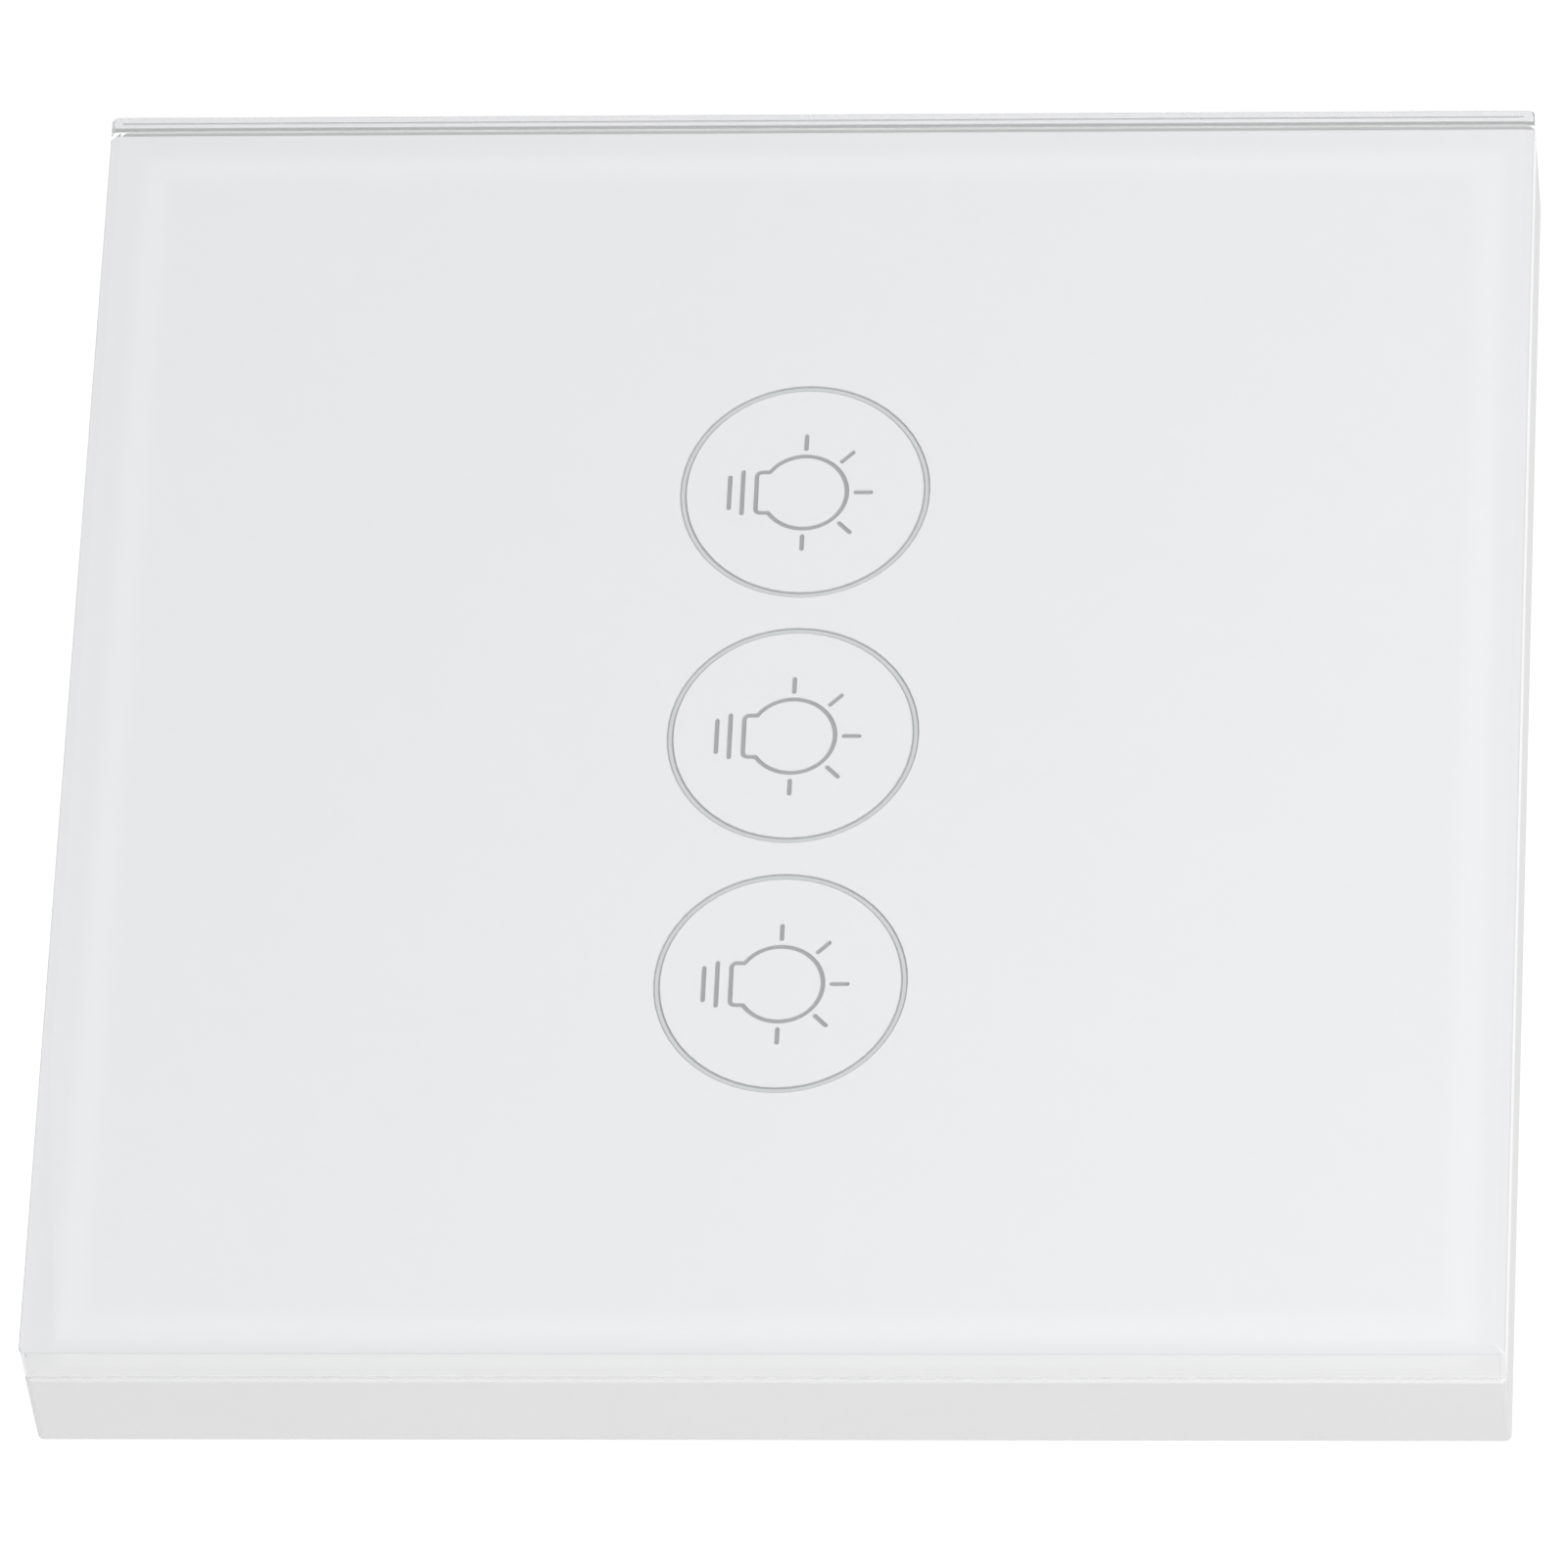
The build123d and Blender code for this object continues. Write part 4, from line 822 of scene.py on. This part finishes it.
class SWITCH_OT_bonded_print(Operator):
    """Lay the ink of the print against the glass, so that it shows through the edges as well"""

    bl_idname = "switch.bonded_print"
    bl_label = "Bonded print"

    def execute(self, context):
        ink = bmesh.new()
        ink.from_mesh(frame["nodes"]["back_print"].data)
        bmesh.ops.remove_doubles(ink, verts=ink.verts, dist=1e-7)
        front = min(vert.co.y for vert in ink.verts)
        bmesh.ops.translate(
            ink,
            verts=[vert for vert in ink.verts if vert.co.y < front + SIDE_SKIN],
            vec=(0, -context.scene.switch_panel.ink_bite, 0),
        )
        print_piece = new_piece("printed_layer", ink, "front_panel", "white_print")
        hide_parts("back_print")
        return {"FINISHED"}


class SWITCH_OT_board_fittings(Operator):
    """Add the metal ends of the small chip parts and the soldered edge pads of the radio board"""

    bl_idname = "switch.board_fittings"
    bl_label = "Board fittings"

    def execute(self, context):
        ends = bmesh.new()
        skin = 0.02 * MM
        cap = 0.34 * MM
        for low, high in solid_boxes(frame["nodes"]["board_passives"]):
            for start, stop in ((low.x, low.x + cap), (high.x - cap, high.x)):
                soft_block(
                    ends,
                    (start - skin, low.y, low.z - skin),
                    (stop + skin, high.y + skin, high.z + skin),
                )
        new_piece("passive_ends", ends, "front_panel", "tinned_metal")

        low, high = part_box("radio_board")
        pads = bmesh.new()
        count, pitch, half_pad = 8, 2.0 * MM, 0.5 * MM
        reach_in, reach_out = 0.9 * MM, 0.25 * MM
        row_middle = (low.z + high.z) / 2 - 2 * MM
        for side, edge in ((-1, low.x), (1, high.x)):
            for step in range(count):
                z = row_middle + pitch * (step - (count - 1) / 2)
                inner = edge - side * reach_in
                outer = edge + side * reach_out
                soft_block(
                    pads,
                    (min(inner, outer), low.y + skin, z - half_pad),
                    (max(inner, outer), high.y + 3 * skin, z + half_pad),
                )
        new_piece("radio_pads", pads, "front_panel", "gold_pin")
        return {"FINISHED"}


def solid_boxes(piece):
    """Lowest and highest corners of each separate solid in a node."""
    mesh = bmesh.new()
    mesh.from_mesh(piece.data)
    bmesh.ops.remove_doubles(mesh, verts=mesh.verts, dist=1e-6)
    mesh.verts.ensure_lookup_table()
    seen = set()
    boxes = []
    for start in mesh.verts:
        if start in seen:
            continue
        seen.add(start)
        queue, island = [start], []
        while queue:
            vert = queue.pop()
            island.append(vert.co.copy())
            for edge in vert.link_edges:
                other = edge.other_vert(vert)
                if other not in seen:
                    seen.add(other)
                    queue.append(other)
        low = Vector([min(co[i] for co in island) for i in range(3)])
        high = Vector([max(co[i] for co in island) for i in range(3)])
        boxes.append((low, high))
    mesh.free()
    return boxes


def studio_lamp(name, place, power, size):
    """A square soft lamp that faces the middle of the switch."""
    lamp = bpy.data.lights.new(name, "AREA")
    lamp.energy = power
    lamp.shape = "SQUARE"
    lamp.size = size
    holder = bpy.data.objects.new(name, lamp)
    holder.location = place
    holder.rotation_euler = (-Vector(place)).to_track_quat("-Z", "Y").to_euler()
    bpy.context.collection.objects.link(holder)


class SWITCH_OT_stage(Operator):
    """Set up the camera, the lamps, the floor and the room's even light"""

    bl_idname = "switch.stage"
    bl_label = "Studio"

    def execute(self, context):
        studio = context.scene.switch_studio
        lens = bpy.data.cameras.new("camera")
        lens.lens = studio.lens
        lens.sensor_width = 36.0
        lens.clip_end = 50.0
        camera = bpy.data.objects.new("camera", lens)
        right, up = Vector(CAMERA_RIGHT), Vector(CAMERA_UP)
        camera.matrix_world = Matrix.LocRotScale(
            Vector(CAMERA_PLACE) * MM,
            Matrix((right, up, right.cross(up))).transposed(),
            None,
        )
        context.collection.objects.link(camera)
        context.scene.camera = camera
        studio_lamp("key_lamp", (0.05, -0.36, 0.25), studio.key_power, 0.3)
        studio_lamp("fill_lamp", (-0.7, -0.8, 0.2), studio.fill_power, 0.8)
        studio_lamp("side_lamp", (0.42, -0.10, 0.14), studio.side_power, 0.3)
        studio_lamp("back_lamp", (0.3, 0.9, -0.3), studio.fill_power, 0.8)

        floor_mesh = bmesh.new()
        bmesh.ops.create_grid(
            floor_mesh,
            x_segments=1,
            y_segments=1,
            size=FLOOR_HALF_SIZE,
            matrix=Matrix.Translation((0, 0, -studio.floor_drop)),
        )
        floor = bpy.data.objects.new("floor", bpy.data.meshes.new("floor"))
        floor_mesh.to_mesh(floor.data)
        floor_mesh.free()
        context.collection.objects.link(floor)
        material = bpy.data.materials.new("floor")
        material.use_nodes = True
        tree = material.node_tree
        tree.nodes.clear()
        strength = reckon(tree, "MULTIPLY", seen_ray(tree), FLOOR_GLOW)
        pale = shade(tree, "BsdfDiffuse", {"Color": FLOOR_COLOUR})
        glow = shade(tree, "Emission", {"Color": (1, 1, 1, 1), "Strength": strength})
        lit = shade(tree, "AddShader", {0: pale.outputs[0], 1: glow.outputs[0]})
        below = shade(tree, "NewGeometry").outputs["Backfacing"]
        clear = shade(tree, "BsdfTransparent")
        both = shade(tree, "MixShader", {0: below, 1: lit.outputs[0], 2: clear.outputs[0]})
        shade(tree, "OutputMaterial", {0: both.outputs[0]})
        floor.data.materials.append(material)

        world = bpy.data.worlds.new("studio")
        context.scene.world = world
        world.use_nodes = True
        tree = world.node_tree
        tree.nodes.clear()
        strength = shade(tree, "Mix", {0: seen_ray(tree), 2: studio.ambient, 3: 1.0}).outputs[0]
        sky = shade(tree, "Background", {"Color": (1, 1, 1, 1), "Strength": strength})
        shade(tree, "OutputWorld", {0: sky.outputs[0]})
        context.scene.view_settings.view_transform = "Standard"
        return {"FINISHED"}


PIECES = (
    SWITCH_OT_glass_front,
    SWITCH_OT_white_mouldings,
    SWITCH_OT_small_mouldings,
    SWITCH_OT_metal_parts,
    SWITCH_OT_boards,
    SWITCH_OT_bonded_print,
    SWITCH_OT_board_fittings,
    SWITCH_OT_stage,
)


class SWITCH_PT_sidebar(Panel):
    """Lists the steps that dress the switch"""

    bl_idname = "SWITCH_PT_sidebar"
    bl_label = "Touch Light Switch"
    bl_space_type = "VIEW_3D"
    bl_region_type = "UI"
    bl_category = "Touch Switch"

    def draw(self, context):
        for step in PIECES:
            self.layout.operator(step.bl_idname)
        for group in ("switch_panel", "switch_base", "switch_studio"):
            settings = getattr(context.scene, group)
            box = self.layout.box()
            for name in settings.bl_rna.properties.keys():
                if name not in ("rna_type", "name"):
                    box.prop(settings, name)


GROUPS = {
    "switch_panel": SwitchPanelLooks,
    "switch_base": SwitchBaseLooks,
    "switch_studio": SwitchStudio,
}


def register():
    for kind in (*GROUPS.values(), *PIECES, SWITCH_PT_sidebar):
        bpy.utils.register_class(kind)
    for name, kind in GROUPS.items():
        setattr(bpy.types.Scene, name, PointerProperty(type=kind))


def unregister():
    for name in GROUPS:
        delattr(bpy.types.Scene, name)
    for kind in reversed((*GROUPS.values(), *PIECES, SWITCH_PT_sidebar)):
        bpy.utils.unregister_class(kind)


def main():
    register()
    for build_group in (
        moulded_skin_group,
        metal_grain_group,
        board_tracks_group,
        moulding_marks_group,
    ):
        build_group()
    bpy.ops.switch.glass_front()
    bpy.ops.switch.white_mouldings()
    bpy.ops.switch.small_mouldings()
    bpy.ops.switch.metal_parts()
    bpy.ops.switch.boards()
    bpy.ops.switch.bonded_print()
    bpy.ops.switch.board_fittings()
    bpy.ops.switch.stage()


if __name__ == "__main__":
    main()
